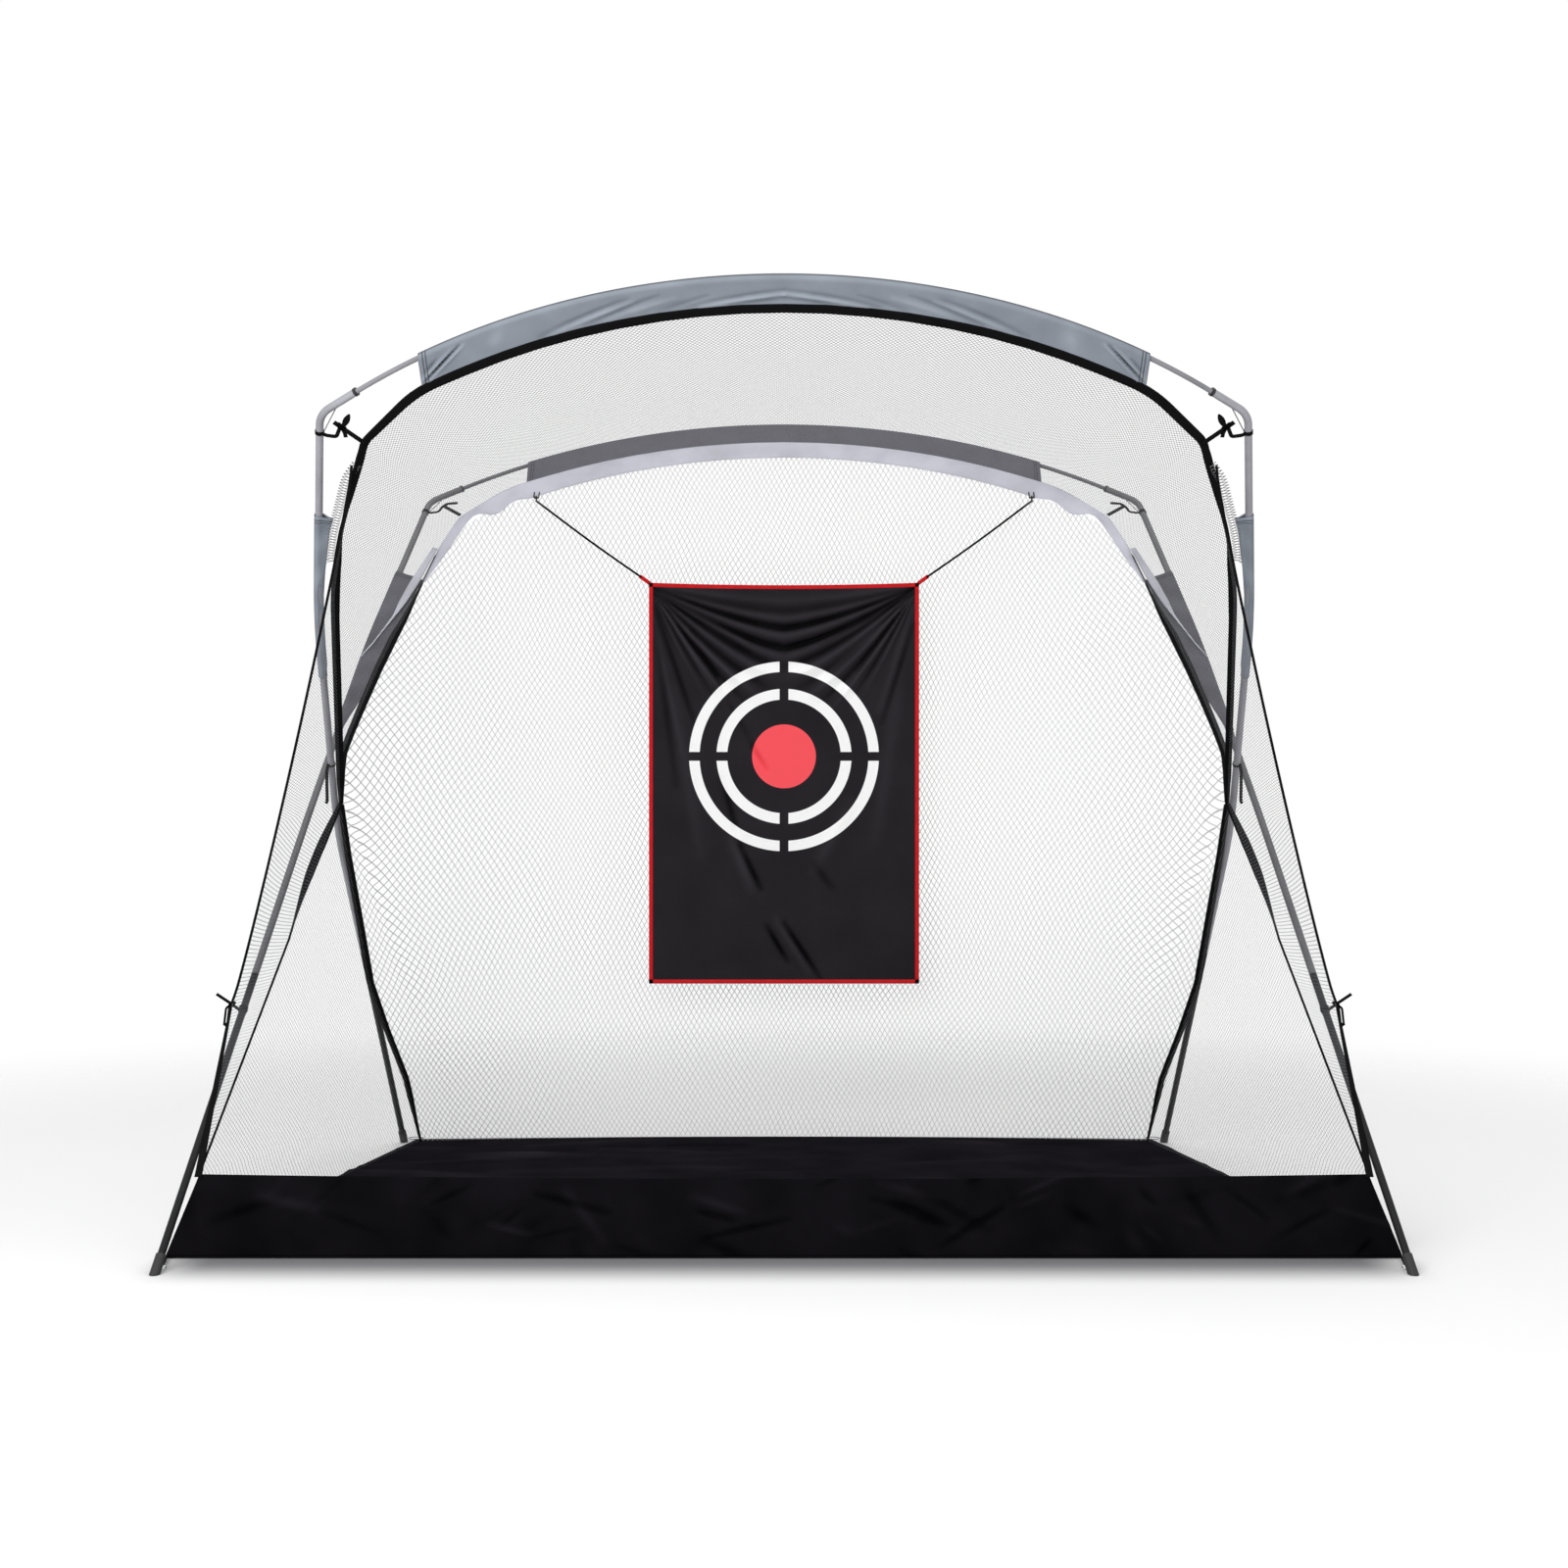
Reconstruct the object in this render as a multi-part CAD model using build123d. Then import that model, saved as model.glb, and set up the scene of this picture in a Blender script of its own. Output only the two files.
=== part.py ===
from build123d import *
import math
import os

os.makedirs("parts", exist_ok=True)

# Stance of the two crossed hoops, millimetres and degrees
front_span = 3046
rear_span = 2518
hoop_tilt = 41.52

# Shape of one hoop, measured in its own leaning plane: u across, s up the slope
hoop_rise = 3186
arch_radius = 1936
arm_pitch = 33.1
elbow_arm = 113.1
elbow_radius = 70
elbow_leg = 380
# Where the hoops cross, and the slight bends that the legs have near it
cross_share = 0.4735
waist_out = 162
front_knee_in = 19
front_knee_drop = 108.6
rear_knee_out = 46
rear_knee_drop = 58.6
hip_share = 0.7722
front_hip_bulge = 27.4
rear_hip_bulge = 18
knee_run = 120

# Tubes and rods
tube_r = 9.75
tube_wall = 1.2
spigot_length = 60
spigot_fit = 0.2
swage_step = 2
low_joint = 0.3203
mid_joint = 0.6334
rod_r = 6.35
rod_seat = 45
rod_fit = 0.25
ferrule_r = 8.0
ferrule_length = 90
collar_length = 7
collar_lip = 1.2
collar_seat = 25
elastic_r = 1.5
elastic_arm = 62
elastic_leg = 76

# Feet
cap_r = 12.75
cap_length = 52
cap_floor = 26
ring_r = 13
ring_wire_r = 2
ring_z = 6.8
shank_r = 2.5
shank_reach = 8
shank_seat = 7
loop_in = 3.2
loop_t = 1.2
loop_width = 8
loop_inset = 6
rear_loop_inset = 20
loop_clear = 0.6

# Net edge, in the hoop's plane
net_drop = 75
net_pitch = 28.8
net_corner_inset = 91
net_corner_straight = 6
net_mid_out = 129
net_mid_fall = 540.4
net_mid_run = 151.4
cross_inset = 25.8
rear_corner_inset = 55

# Fabric thicknesses and the clear gap between sewn pieces
gap = 0.4
net_t = 2.0
band_width = 20
band_t = 2.4
flange_t = 2.0
sleeve_wall = 1.2
tack_arm = 24
band_gap = 3
overrun = 30

# Sleeves and the light border of the back net
arch_sleeve_inset = 167
sleeve_top_drop = 300
front_sleeve_share = 0.632
rear_sleeve_share = 0.389
border_depth = 78
border_pitch = 27
border_corner_inset = 31
border_corner_radius = 290
border_lap = 18.6
border_end_inset = 24.4

# Floor sheet, ball stop and wings
floor_t = 2.0
floor_front_out = 27
floor_rear_inset = 34
floor_rear_out = 45
floor_rear_bow = 100
hem_inset = 1
back_inset = 12
gusset_lap = 3
strand_count = 13
strand_start = 0.05
wall_s = 280
wall_inset = 28.5
wall_seam = 0.6
wall_trim = 4
tie_s = 785
tie_side = 26
tie_stand_off = 26
tape_width = 9
tape_t = 3.0

# Tape ties at the elbows, the crossing and the front legs
tie_width = 12
tie_t = 1.5
tie_lift = 2.6
tie_drop = 110
tie_inset = 25
tie_fall = 20.4
tie_bend_inset = 30
tie_bend_fall = 58
lump_wall = 1.8
lump_round = 6
tail_r = 1.5
tail_clear = 0.1
tail_drop = 2

# Target
target_width = 880
target_height = 1306
target_drop = 278
target_binding = 13
cloth_t = 2.0
binding_t = 3.0
cord_r = 2.0
hang_inset = 2.5
hanger_drop = 12
hanger_half = 8
hanger_r = 2.0
hanger_sewn = 15
hanger_bend = 3
tab_length = 36
hook_wall = 2.5
hook_width = 6
hook_length = 34
shaft_r = 3.5
neck_r = 2.5
neck_drop = 12
cord_seat = 10
hook_mouth_angle = 150
hook_mouth_fit = 0.2

slope_sin = math.sin(math.radians(hoop_tilt))
slope_cos = math.cos(math.radians(hoop_tilt))
cross_s = cross_share * hoop_rise
half_depth = cross_s * slope_sin
front_plane = Plane((0, half_depth, 0), x_dir=(1, 0, 0), z_dir=(0, -slope_cos, -slope_sin))
rear_plane = Plane((0, -half_depth, 0), x_dir=(1, 0, 0), z_dir=(0, -slope_cos, slope_sin))

arch_centre = hoop_rise - arch_radius
pitch = math.radians(arm_pitch)
mouth = (arch_radius * math.sin(pitch), arch_centre + arch_radius * math.cos(pitch))
elbow_u = mouth[0] + elbow_arm * math.cos(pitch)
elbow_s = mouth[1] - elbow_arm * math.sin(pitch)
elbow_end = elbow_s - elbow_leg
leg_joint_low = low_joint * elbow_s
leg_joint_mid = mid_joint * elbow_s
bore_r = tube_r - tube_wall
spigot_r = bore_r - spigot_fit


def save(name, *shapes):
    solids = [solid for shape in shapes for solid in shape.solids()]
    export_step(solids[0] if len(solids) == 1 else Compound(children=solids), f"parts/{name}.step")


def both_sides(shape):
    return shape, mirror(shape, about=Plane.YZ)


def save_pair(name, shape):
    right, left = both_sides(shape)
    save(name + "_right", right)
    save(name + "_left", left)


def turn(a, b, c):
    one = math.atan2(b[1] - a[1], b[0] - a[0])
    two = math.atan2(c[1] - b[1], c[0] - b[0])
    return math.remainder(two - one, math.tau)


def path_of(points, radii):
    if len(points) == 2:
        return Wire([Line(*points).edge()])
    return Wire(FilletPolyline(*points, radius=radii).edges())


def shifted(points, radii, distance):
    # The same path moved to its left; each arc grows or shrinks with it
    moved = []
    for i, point in enumerate(points):
        normals = []
        for a, b in zip(points[max(i - 1, 0):i + 1], points[max(i, 1):i + 2]):
            run = math.dist(a, b)
            normals.append(((a[1] - b[1]) / run, (b[0] - a[0]) / run))
        one, two = normals[0], normals[-1]
        scale = distance / (1 + one[0] * two[0] + one[1] * two[1])
        moved.append((point[0] + scale * (one[0] + two[0]), point[1] + scale * (one[1] + two[1])))
    corners = zip(points, points[1:], points[2:])
    arcs = [r - math.copysign(distance, distance * turn(*abc)) for r, abc in zip(radii, corners)]
    return moved, arcs


def strip(points, radii, inner, outer):
    one = path_of(*shifted(points, radii, outer))
    two = path_of(*shifted(points, radii, inner))
    ends = [Line(one @ 0, two @ 0).edge(), Line(one @ 1, two @ 1).edge()]
    return make_face(one.edges() + two.edges() + ShapeList(ends))


def slab(face, thickness):
    return extrude(face, thickness / 2, both=True)


def pipe(path, outer, inner=0):
    ring = Circle(outer) - Circle(inner) if inner else Circle(outer)
    return sweep(Plane(path @ 0, z_dir=path % 0) * ring, path=path)


def rod_between(a, b, outer, inner=0):
    return pipe(Wire([Line(a, b).edge()]), outer, inner)


def prism(points, thickness, direction):
    # A flat facet thickened evenly along one axis
    face = make_face(Polyline(*points, close=True).edges())
    step = Vector(*direction) * (thickness / 2)
    return extrude(Pos(*(-step)) * face, thickness, dir=direction)


# One leg, foot to elbow mouth, as straight runs joined by tangent arcs
def leg_at(points, s):
    for a, b in zip(points, points[1:]):
        if a[1] <= s <= b[1]:
            part = (s - a[1]) / (b[1] - a[1])
            return (a[0] + part * (b[0] - a[0]), s)


def leg_run(points, low, high):
    inner = [p for p in points[1:-2] if low < p[1] < high]
    run = [leg_at(points, low)] + inner + [leg_at(points, high)]
    radii = [knee_run / math.tan(abs(turn(*abc)) / 2) for abc in zip(run, run[1:], run[2:])]
    return path_of(run, radii)


def leg_wrap(points, s):
    path = leg_run(points, s - tie_width / 2, s + tie_width / 2)
    return pipe(path, tube_r + gap + tie_t, tube_r + gap)


def swaged(body_path, body):
    # The reduced end that plugs into the tube below
    start = body_path @ 0
    along = body_path % 0
    spigot_in = spigot_r - tube_wall
    step = rod_between(start, start + along * swage_step, tube_r, spigot_in)
    plug = rod_between(start - along * spigot_length, start, spigot_r, spigot_in)
    return body + step + plug


elbow = (elbow_u, elbow_s)
waist_u = elbow_u + waist_out
front_knee = (waist_u - front_knee_in, cross_s - front_knee_drop)
rear_knee = (waist_u + rear_knee_out, cross_s - rear_knee_drop)


def hip(knee, bulge):
    straight = leg_at([knee, elbow], hip_share * elbow_s)
    return (straight[0] + bulge, straight[1])


front_leg = [(rear_span / 2, 0), front_knee, hip(front_knee, front_hip_bulge), elbow, mouth]
rear_leg = [(front_span / 2, 0), rear_knee, hip(rear_knee, rear_hip_bulge), elbow, mouth]
hoops = {"front_hoop": (front_plane, front_leg), "rear_hoop": (rear_plane, rear_leg)}


def toward(a, b, distance):
    part = distance / math.dist(a, b)
    return (a[0] + part * (b[0] - a[0]), a[1] + part * (b[1] - a[1]))


def flip(point):
    return (-point[0], point[1])


def at_height(a, b, s):
    return toward(a, b, math.dist(a, b) * (s - a[1]) / (b[1] - a[1]))


# Corners of the net's edge, the same in both hoop planes above the crossing
net_radius = arch_radius - net_drop
net_apex = (0, arch_centre + net_radius / math.cos(math.radians(net_pitch)))
net_corner_u = elbow_u - net_corner_inset
net_corner = (net_corner_u, net_apex[1] - net_corner_u * math.tan(math.radians(net_pitch)))
net_mid = (net_corner[0] + net_mid_out, net_corner[1] - net_mid_fall)
cross = (leg_at(front_leg, cross_s)[0] - cross_inset, cross_s)
cross_end = toward(cross, net_mid, tack_arm + gap)
net_mid_radius = net_mid_run / math.tan(abs(turn(net_corner, net_mid, cross)) / 2)
net_arc_run = net_radius * math.tan(math.radians(net_pitch)) + net_corner_straight
net_corner_run = math.dist(net_apex, net_corner) - net_arc_run
net_corner_radius = net_corner_run / math.tan(abs(turn(net_apex, net_corner, net_mid)) / 2)
rear_corner_u = rear_span / 2 - rear_corner_inset
rear_corner = (rear_corner_u, 0)
wall_corner = (leg_at(rear_leg, wall_s)[0] - wall_inset, wall_s)
wall_y = wall_s * slope_sin - half_depth - wall_seam
wall_top = wall_s * slope_cos - wall_seam

# Places along the hoop that follow it
tie_point = (leg_at(rear_leg, tie_s)[0] + tie_side, tie_s)
tie_height = elbow_s - tie_drop
tie_start = (net_corner[0] - tie_inset, net_corner[1] - tie_fall)
tie_bend = (elbow_u - tie_bend_inset, elbow_s - tie_bend_fall)
arch_sleeve_half = mouth[0] - arch_sleeve_inset
sleeve_top = elbow_s - sleeve_top_drop
front_sleeve_low = cross_s + front_sleeve_share * (net_mid[1] - cross_s)
rear_sleeve_low = cross_s + rear_sleeve_share * (net_mid[1] - cross_s)
floor_front_u = front_span / 2 + floor_front_out
floor_rear = (rear_span / 2 - floor_rear_inset, half_depth + floor_rear_out)
floor_rear_y = half_depth + floor_rear_bow

cap_solids = []
ring_solids = []
collar_solids = []
ferrule_solids = []
elbow_cord_solids = []
elbow_tie_solids = []

for hoop, (plane, points) in hoops.items():
    foot_run = math.dist(points[0], points[1])
    along = ((points[1][0] - points[0][0]) / foot_run, (points[1][1] - points[0][1]) / foot_run)
    tube_start = (points[0][0] + along[0] * (cap_floor + gap), along[1] * (cap_floor + gap))

    lower_path = path_of([tube_start, leg_at(points, leg_joint_low)], [])
    save_pair(hoop + "_lower_leg", plane * pipe(lower_path, tube_r, bore_r))
    joints = [leg_joint_low, leg_joint_mid, elbow_end]
    for name, low, high in zip(("_middle_leg", "_upper_leg"), joints, joints[1:]):
        path = leg_run(points, low, high)
        save_pair(hoop + name, plane * swaged(path, pipe(path, tube_r, bore_r)))

    elbow_path = path_of([leg_at(points, elbow_end), (elbow_u, elbow_s), mouth], [elbow_radius])
    save_pair(hoop + "_elbow", plane * swaged(elbow_path, pipe(elbow_path, tube_r, bore_r)))

    # Bushing in the elbow's mouth that holds the thin arch rod
    out = elbow_path % 1
    tip = elbow_path @ 1
    collar = rod_between(tip, tip + out * collar_length, tube_r + collar_lip, rod_r + rod_fit)
    collar += rod_between(tip - out * collar_seat, tip, spigot_r, rod_r + rod_fit)
    collar_solids += both_sides(plane * collar)

    # Arch rods: three lengths, the outer two seated in the elbows
    half_arc = arm_pitch / 3
    hub = Axis((0, arch_centre, 0), (0, 0, 1))
    section = Plane((0, arch_centre + arch_radius, 0), x_dir=(0, 1, 0), z_dir=(1, 0, 0))
    rod_gap = math.degrees(gap / 2 / arch_radius)
    middle = revolve(section * Circle(rod_r), hub, 2 * (half_arc - rod_gap))
    save(hoop + "_arch_rod_middle", plane * middle.rotate(hub, rod_gap - half_arc))
    side = revolve(section * Circle(rod_r), hub, arm_pitch - half_arc - rod_gap)
    side = side.rotate(hub, -arm_pitch)
    seat = rod_between(tip - out * rod_seat, tip, rod_r)
    save_pair(hoop + "_arch_rod", plane * (side + seat))
    ferrule_angle = math.degrees(ferrule_length / arch_radius)
    ferrule = revolve(section * (Circle(ferrule_r) - Circle(rod_r + rod_fit)), hub, ferrule_angle)
    ferrule_solids += both_sides(plane * ferrule.rotate(hub, -half_arc - ferrule_angle / 2))

    # Rubber foot: a cup over the tube's end, cut flat on the ground
    world_foot = plane.from_local_coords(Vector(points[0][0], 0, 0))
    world_up = (plane.from_local_coords(Vector(*points[1], 0)) - world_foot).normalized()
    cup = rod_between(world_foot - world_up * overrun, world_foot + world_up * cap_length, cap_r)
    seat = world_foot + world_up * cap_floor
    cup -= rod_between(seat, seat + world_up * cap_length, tube_r + gap / 2)
    cup = split(cup, bisect_by=Plane.XY, keep=Keep.TOP)

    # Stake ring: an eye whose shank sits in a hole in the foot's inner side
    lean_y = world_up.Y / world_up.Z * ring_z
    lean_x = world_up.X / world_up.Z * ring_z
    eye_x = world_foot.X + lean_x
    rear_side = cap_r / slope_cos + lean_y
    eye_y = world_foot.Y + rear_side + shank_reach + ring_r
    shank_end = world_foot.Y + rear_side - shank_seat
    shank_from = Vector(eye_x, shank_end, ring_z)
    shank_to = Vector(eye_x, eye_y - ring_r, ring_z)
    shank_hole = rod_between(shank_from - Vector(0, gap, 0), shank_to, shank_r + gap / 2)
    cap_solids += both_sides(cup - shank_hole)
    eye = Pos(eye_x, eye_y, ring_z) * Torus(ring_r, ring_wire_r)
    ring_solids += both_sides(eye + rod_between(shank_from, shank_to, shank_r))
    hoops[hoop] = (plane, points, Vector(eye_x, eye_y, ring_z))

    # Elastic cord across the elbow, and the tape tie from the net's corner to the leg
    low_dir = elbow_path % 0
    arm_point = Vector(elbow_u, elbow_s) + out * elastic_arm
    leg_point = Vector(elbow_u, elbow_s) - low_dir * elastic_leg
    span_dir = (leg_point - arm_point).normalized()
    arm_angle = math.radians(abs(span_dir.get_angle(out) - 90))
    leg_angle = math.radians(abs(span_dir.get_angle(low_dir) - 90))
    arm_clear = tube_r / math.cos(arm_angle) + elastic_r * math.tan(arm_angle) + gap
    leg_clear = tube_r / math.cos(leg_angle) + elastic_r * math.tan(leg_angle) + gap
    cord_from = arm_point + span_dir * arm_clear
    cord_to = leg_point - span_dir * leg_clear
    elbow_cord_solids += both_sides(plane * rod_between(cord_from, cord_to, elastic_r))

    # Tape tie: a wrap round the leg and a strap out to the net's corner
    strap_line = [tie_start, tie_bend, leg_at(points, tie_height)]
    strap = slab(strip(strap_line, [tie_width], -tie_width / 2, tie_width / 2), tie_t)
    strap = Pos(0, 0, tie_lift) * strap
    strap -= pipe(leg_run(points, elbow_end, tie_height + 4 * tie_width), tube_r + gap)
    elbow_tie_solids += both_sides(plane * (leg_wrap(points, tie_height) + strap))

save("foot_caps", *cap_solids)
save("stake_rings", *ring_solids)
save("elbow_collars", *collar_solids)
save("arch_ferrules", *ferrule_solids)
save("elbow_elastic_cords", *elbow_cord_solids)
save("elbow_ties", *elbow_tie_solids)

edge_half = [net_apex, net_corner, net_mid, cross_end]
edge_points = [flip(p) for p in edge_half[:0:-1]] + edge_half
edge_radii = [net_mid_radius, net_corner_radius, net_radius, net_corner_radius, net_mid_radius]
half_band = band_width / 2
face_off = band_t / 2 + gap

edge_face = strip(edge_points, edge_radii, -half_band, half_band)
save("front_edge_binding", front_plane * slab(edge_face, band_t))

# Light border of the back net, under the rear arch and round its corners
border_radius = net_radius - border_depth
border_apex = (0, arch_centre + border_radius / math.cos(math.radians(border_pitch)))
border_corner_u = net_corner_u - border_corner_inset
border_fall = border_corner_u * math.tan(math.radians(border_pitch))
border_corner = (border_corner_u, border_apex[1] - border_fall)
border_end = net_mid[1] + net_mid_run + border_lap
edge_tip = at_height(net_mid, net_corner, border_end)
border_tip = (edge_tip[0] - border_end_inset, border_end)
outer_half = [net_apex, net_corner, edge_tip]
inner_half = [border_apex, border_corner, border_tip]
outer_points = [flip(p) for p in outer_half[:0:-1]] + outer_half
inner_points = [flip(p) for p in inner_half[:0:-1]] + inner_half
outer_radii = [net_corner_radius, net_radius, net_corner_radius]
inner_radii = [border_corner_radius, border_radius, border_corner_radius]
outer_path = path_of(*shifted(outer_points, outer_radii, half_band))
inner_path = path_of(inner_points, inner_radii)
border_ends = [Line(outer_path @ 0, inner_path @ 0).edge(), Line(outer_path @ 1, inner_path @ 1).edge()]
border_face = make_face(outer_path.edges() + inner_path.edges() + ShapeList(border_ends))
save("back_net_border", rear_plane * slab(border_face, band_t))

# Black bindings down the rear hoop's sides and along the four lower edges
side_top = at_height(net_mid, net_corner, border_end - band_gap)
side_strip = strip([side_top, net_mid, cross_end], [net_mid_radius], -half_band, half_band)
save("rear_side_bindings", *both_sides(rear_plane * slab(side_strip, band_t)))
low_solids = []
for plane, corner, floor_z in ((front_plane, rear_corner, floor_t), (rear_plane, wall_corner, wall_top)):
    low_end = toward(cross, corner, math.dist(cross, corner) + overrun)
    low_strip = strip([toward(cross, corner, tack_arm + gap), low_end], [], -half_band, half_band)
    low_band = plane * slab(low_strip, band_t)
    low_solids += both_sides(split(low_band, bisect_by=Plane.XY.offset(floor_z + gap), keep=Keep.TOP))
save("lower_edge_bindings", *low_solids)

# Sewn cross where four edges meet
tack = None
for plane, ends in ((front_plane, (net_mid, rear_corner)), (rear_plane, (net_mid, wall_corner))):
    for end in ends:
        arm_face = strip([cross, toward(cross, end, tack_arm)], [], -half_band, half_band)
        arm = plane * slab(arm_face, band_t)
        tack = arm if tack is None else tack + arm
save("crossing_tacks", *both_sides(tack))

# Pole sleeves on the arches: a tube round the rod and a flange down to the net's edge
sleeve_in = ferrule_r + gap
flange_low = -(net_drop - half_band - gap)
flange_high = -(sleeve_in + sleeve_wall / 2)
profile = Circle(sleeve_in + sleeve_wall)
profile += Pos((flange_low + flange_high) / 2, 0) * Rectangle(flange_high - flange_low, flange_t)
profile -= Circle(sleeve_in)
sleeve_angle = math.degrees(math.asin(arch_sleeve_half / arch_radius))
arch_sleeve = revolve(section * profile, hub, 2 * sleeve_angle).rotate(hub, -sleeve_angle)
save("front_arch_sleeve", front_plane * arch_sleeve)
save("rear_arch_sleeve", rear_plane * arch_sleeve)


# Pole sleeves on the legs, whose flange narrows towards the crossing
def leg_sleeve(points, low, high):
    path = leg_run(points, low, high)
    bore = tube_r + gap
    edge = [at_height(net_mid, net_corner, high), net_mid, at_height(cross, net_mid, low)]
    edge_path = path_of(*shifted(edge, [net_mid_radius], half_band + gap))
    knees = [p for p in points[-3:0:-1] if low < p[1] < high]
    pole = [leg_at(points, high)] + knees + [leg_at(points, low)]
    pole_path = Polyline(*pole) if len(pole) > 2 else Line(*pole)
    ends = [Line(edge_path @ 0, pole[0]).edge(), Line(edge_path @ 1, pole[-1]).edge()]
    flange = slab(make_face(edge_path.edges() + pole_path.edges() + ShapeList(ends)), flange_t)
    long_path = leg_run(points, low - overrun, high + overrun)
    return pipe(path, bore + sleeve_wall, bore) + (flange - pipe(long_path, bore + sleeve_wall / 2))


save_pair("front_leg_sleeve", front_plane * leg_sleeve(front_leg, front_sleeve_low, sleeve_top))
save_pair("rear_leg_sleeve", rear_plane * leg_sleeve(rear_leg, rear_sleeve_low, sleeve_top))

# Canopy: the net's edge line carried from the front hoop's plane to the rear one's
canopy_face = front_plane.offset(-face_off) * strip(edge_points, edge_radii, -net_t / 2, net_t / 2)
canopy = extrude(canopy_face, 2 * half_depth + hoop_rise, dir=(0, 1, 0))
save("canopy_net", split(canopy, bisect_by=rear_plane.offset(face_off), keep=Keep.TOP))


def at_front(point, off):
    return front_plane.from_local_coords(Vector(point[0], point[1], off))


def at_rear(point, off):
    return rear_plane.from_local_coords(Vector(point[0], point[1], off))


def facets(triangles, thickness):
    whole = None
    for corners in triangles:
        piece = prism(corners, thickness, (1, 0, 0))
        whole = piece if whole is None else whole + piece
    return whole


# Lower side nets, between the four lower edges and the floor
net_floor = floor_t + gap
near_cross = toward(cross, wall_corner, tack_arm)
far_cross = toward(cross, rear_corner, tack_arm)
rear_foot_s = (net_floor + face_off * slope_sin) / slope_cos
s_top_front = at_rear(near_cross, -face_off)
s_top_rear = at_front(far_cross, face_off)
s_wall = at_rear(toward(wall_corner, cross, wall_trim), -face_off)
s_front = Vector(floor_front_u - hem_inset, wall_y + net_t / 2 + gap, net_floor)
s_rear = at_front((rear_corner_u, rear_foot_s), face_off)
side_net = [(s_top_front, s_wall, s_rear), (s_top_front, s_rear, s_top_rear), (s_wall, s_front, s_rear)]
save_pair("side_net", facets(side_net, net_t))

# Front wings, sewn to the front hoop's edge and drawn forward to the front legs
corner_turn = abs(turn(net_apex, net_corner, net_mid))
wing_top = toward(net_corner, net_mid, net_corner_radius * math.tan(corner_turn / 2))
w_top = at_front(wing_top, face_off)
w_mid = at_front(net_mid, face_off)
w_cross = at_front(toward(cross, net_mid, tack_arm), face_off)
w_low = at_rear(near_cross, face_off)
w_wall = at_rear(toward(wall_corner, cross, wall_trim), face_off)
w_tie = at_rear(tie_point, tie_stand_off)
wing_edge = [w_top, w_mid, w_cross, w_low, w_wall]
save_pair("wing_net", facets([(a, b, w_tie) for a, b in zip(wing_edge, wing_edge[1:])], net_t))

# Edge tape along each wing's free edge
tape = None
for a, b, inside in ((w_top, w_tie, w_mid), (w_tie, w_wall, w_low)):
    along = (b - a).normalized()
    out = a - inside
    out = (out - along * out.dot(along)).normalized()
    quad = [a + out * gap, b + out * gap, b + out * (gap + tape_width), a + out * (gap + tape_width)]
    run = prism(quad, tape_t, (1, 0, 0))
    tape = run if tape is None else tape + run
save_pair("wing_edge_tape", tape)

# Back net: straight strands from the border down to the floor, with the side gussets
border_wire = path_of(*shifted(inner_points, inner_radii, half_band))
top_points = [at_rear(flip(net_mid), -face_off)]
strand_step = (1 - 2 * strand_start) / (strand_count - 1)
for i in range(strand_count):
    top = border_wire @ (strand_start + strand_step * i)
    top_points.append(at_rear((top.X, top.Y), -face_off))
top_points.append(at_rear(net_mid, -face_off))
rear_low_s = (net_floor - face_off * slope_sin) / slope_cos
b_rear = at_front((rear_corner_u, rear_low_s), -face_off)
b_left = Vector(-b_rear.X, b_rear.Y, b_rear.Z)
b_bow = Vector(0, floor_rear_y - back_inset, net_floor)
back_low = ThreePointArc(b_left, b_bow, b_rear).edge()
back_face = Face.make_surface_from_curves(Spline(*top_points).edge(), back_low)
back_net = extrude(back_face, net_t, dir=(0, 1, 0))
step = Vector(0, gusset_lap, 0)
g_top = at_rear(toward(cross, net_mid, tack_arm), -face_off)
g_low = at_front(far_cross, -face_off)
g_mid = at_rear(net_mid, -face_off) + step
gusset = facets([(g_top, g_mid, b_rear + step), (g_top, b_rear + step, g_low)], net_t)
for side in both_sides(gusset):
    back_net += side
save("back_net", back_net)

# Floor sheet and the upright ball stop along its front edge
floor_front_y = wall_y - net_t / 2 - hem_inset
floor_right = Line((floor_front_u, floor_front_y), floor_rear)
floor_edges = [
    Line((-floor_front_u, floor_front_y), (floor_front_u, floor_front_y)).edge(),
    floor_right.edge(),
    ThreePointArc(floor_rear, (0, floor_rear_y), flip(floor_rear)).edge(),
    Line(flip(floor_rear), (-floor_front_u, floor_front_y)).edge(),
]
save("floor_sheet", extrude(make_face(ShapeList(floor_edges)), floor_t))
wall_low = floor_front_u - hem_inset
stop = [(wall_low, wall_y, net_floor), (wall_corner[0], wall_y, wall_top)]
stop += [(-wall_corner[0], wall_y, wall_top), (-wall_low, wall_y, net_floor)]
save("ball_stop", prism(stop, net_t, (0, 1, 0)))

# Tie at the crossing: tape wound round both legs, one solid lump on each side
front_u = leg_at(front_leg, cross_s)[0]
rear_u = leg_at(rear_leg, cross_s)[0]
reach = tube_r + gap + lump_wall
reach_y = (tube_r + gap) / slope_cos + tie_width / 2 * slope_sin / slope_cos + lump_wall
lump = RectangleRounded(rear_u - front_u + 2 * reach, 2 * reach_y, lump_round)
lump = Pos((front_u + rear_u) / 2, 0, cross_s * slope_cos) * extrude(lump, tie_width / 2, both=True)
for plane, points in ((front_plane, front_leg), (rear_plane, rear_leg)):
    lump -= plane * pipe(leg_run(points, leg_joint_low, leg_joint_mid), tube_r + gap)
save("crossing_ties", *both_sides(lump))

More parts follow.
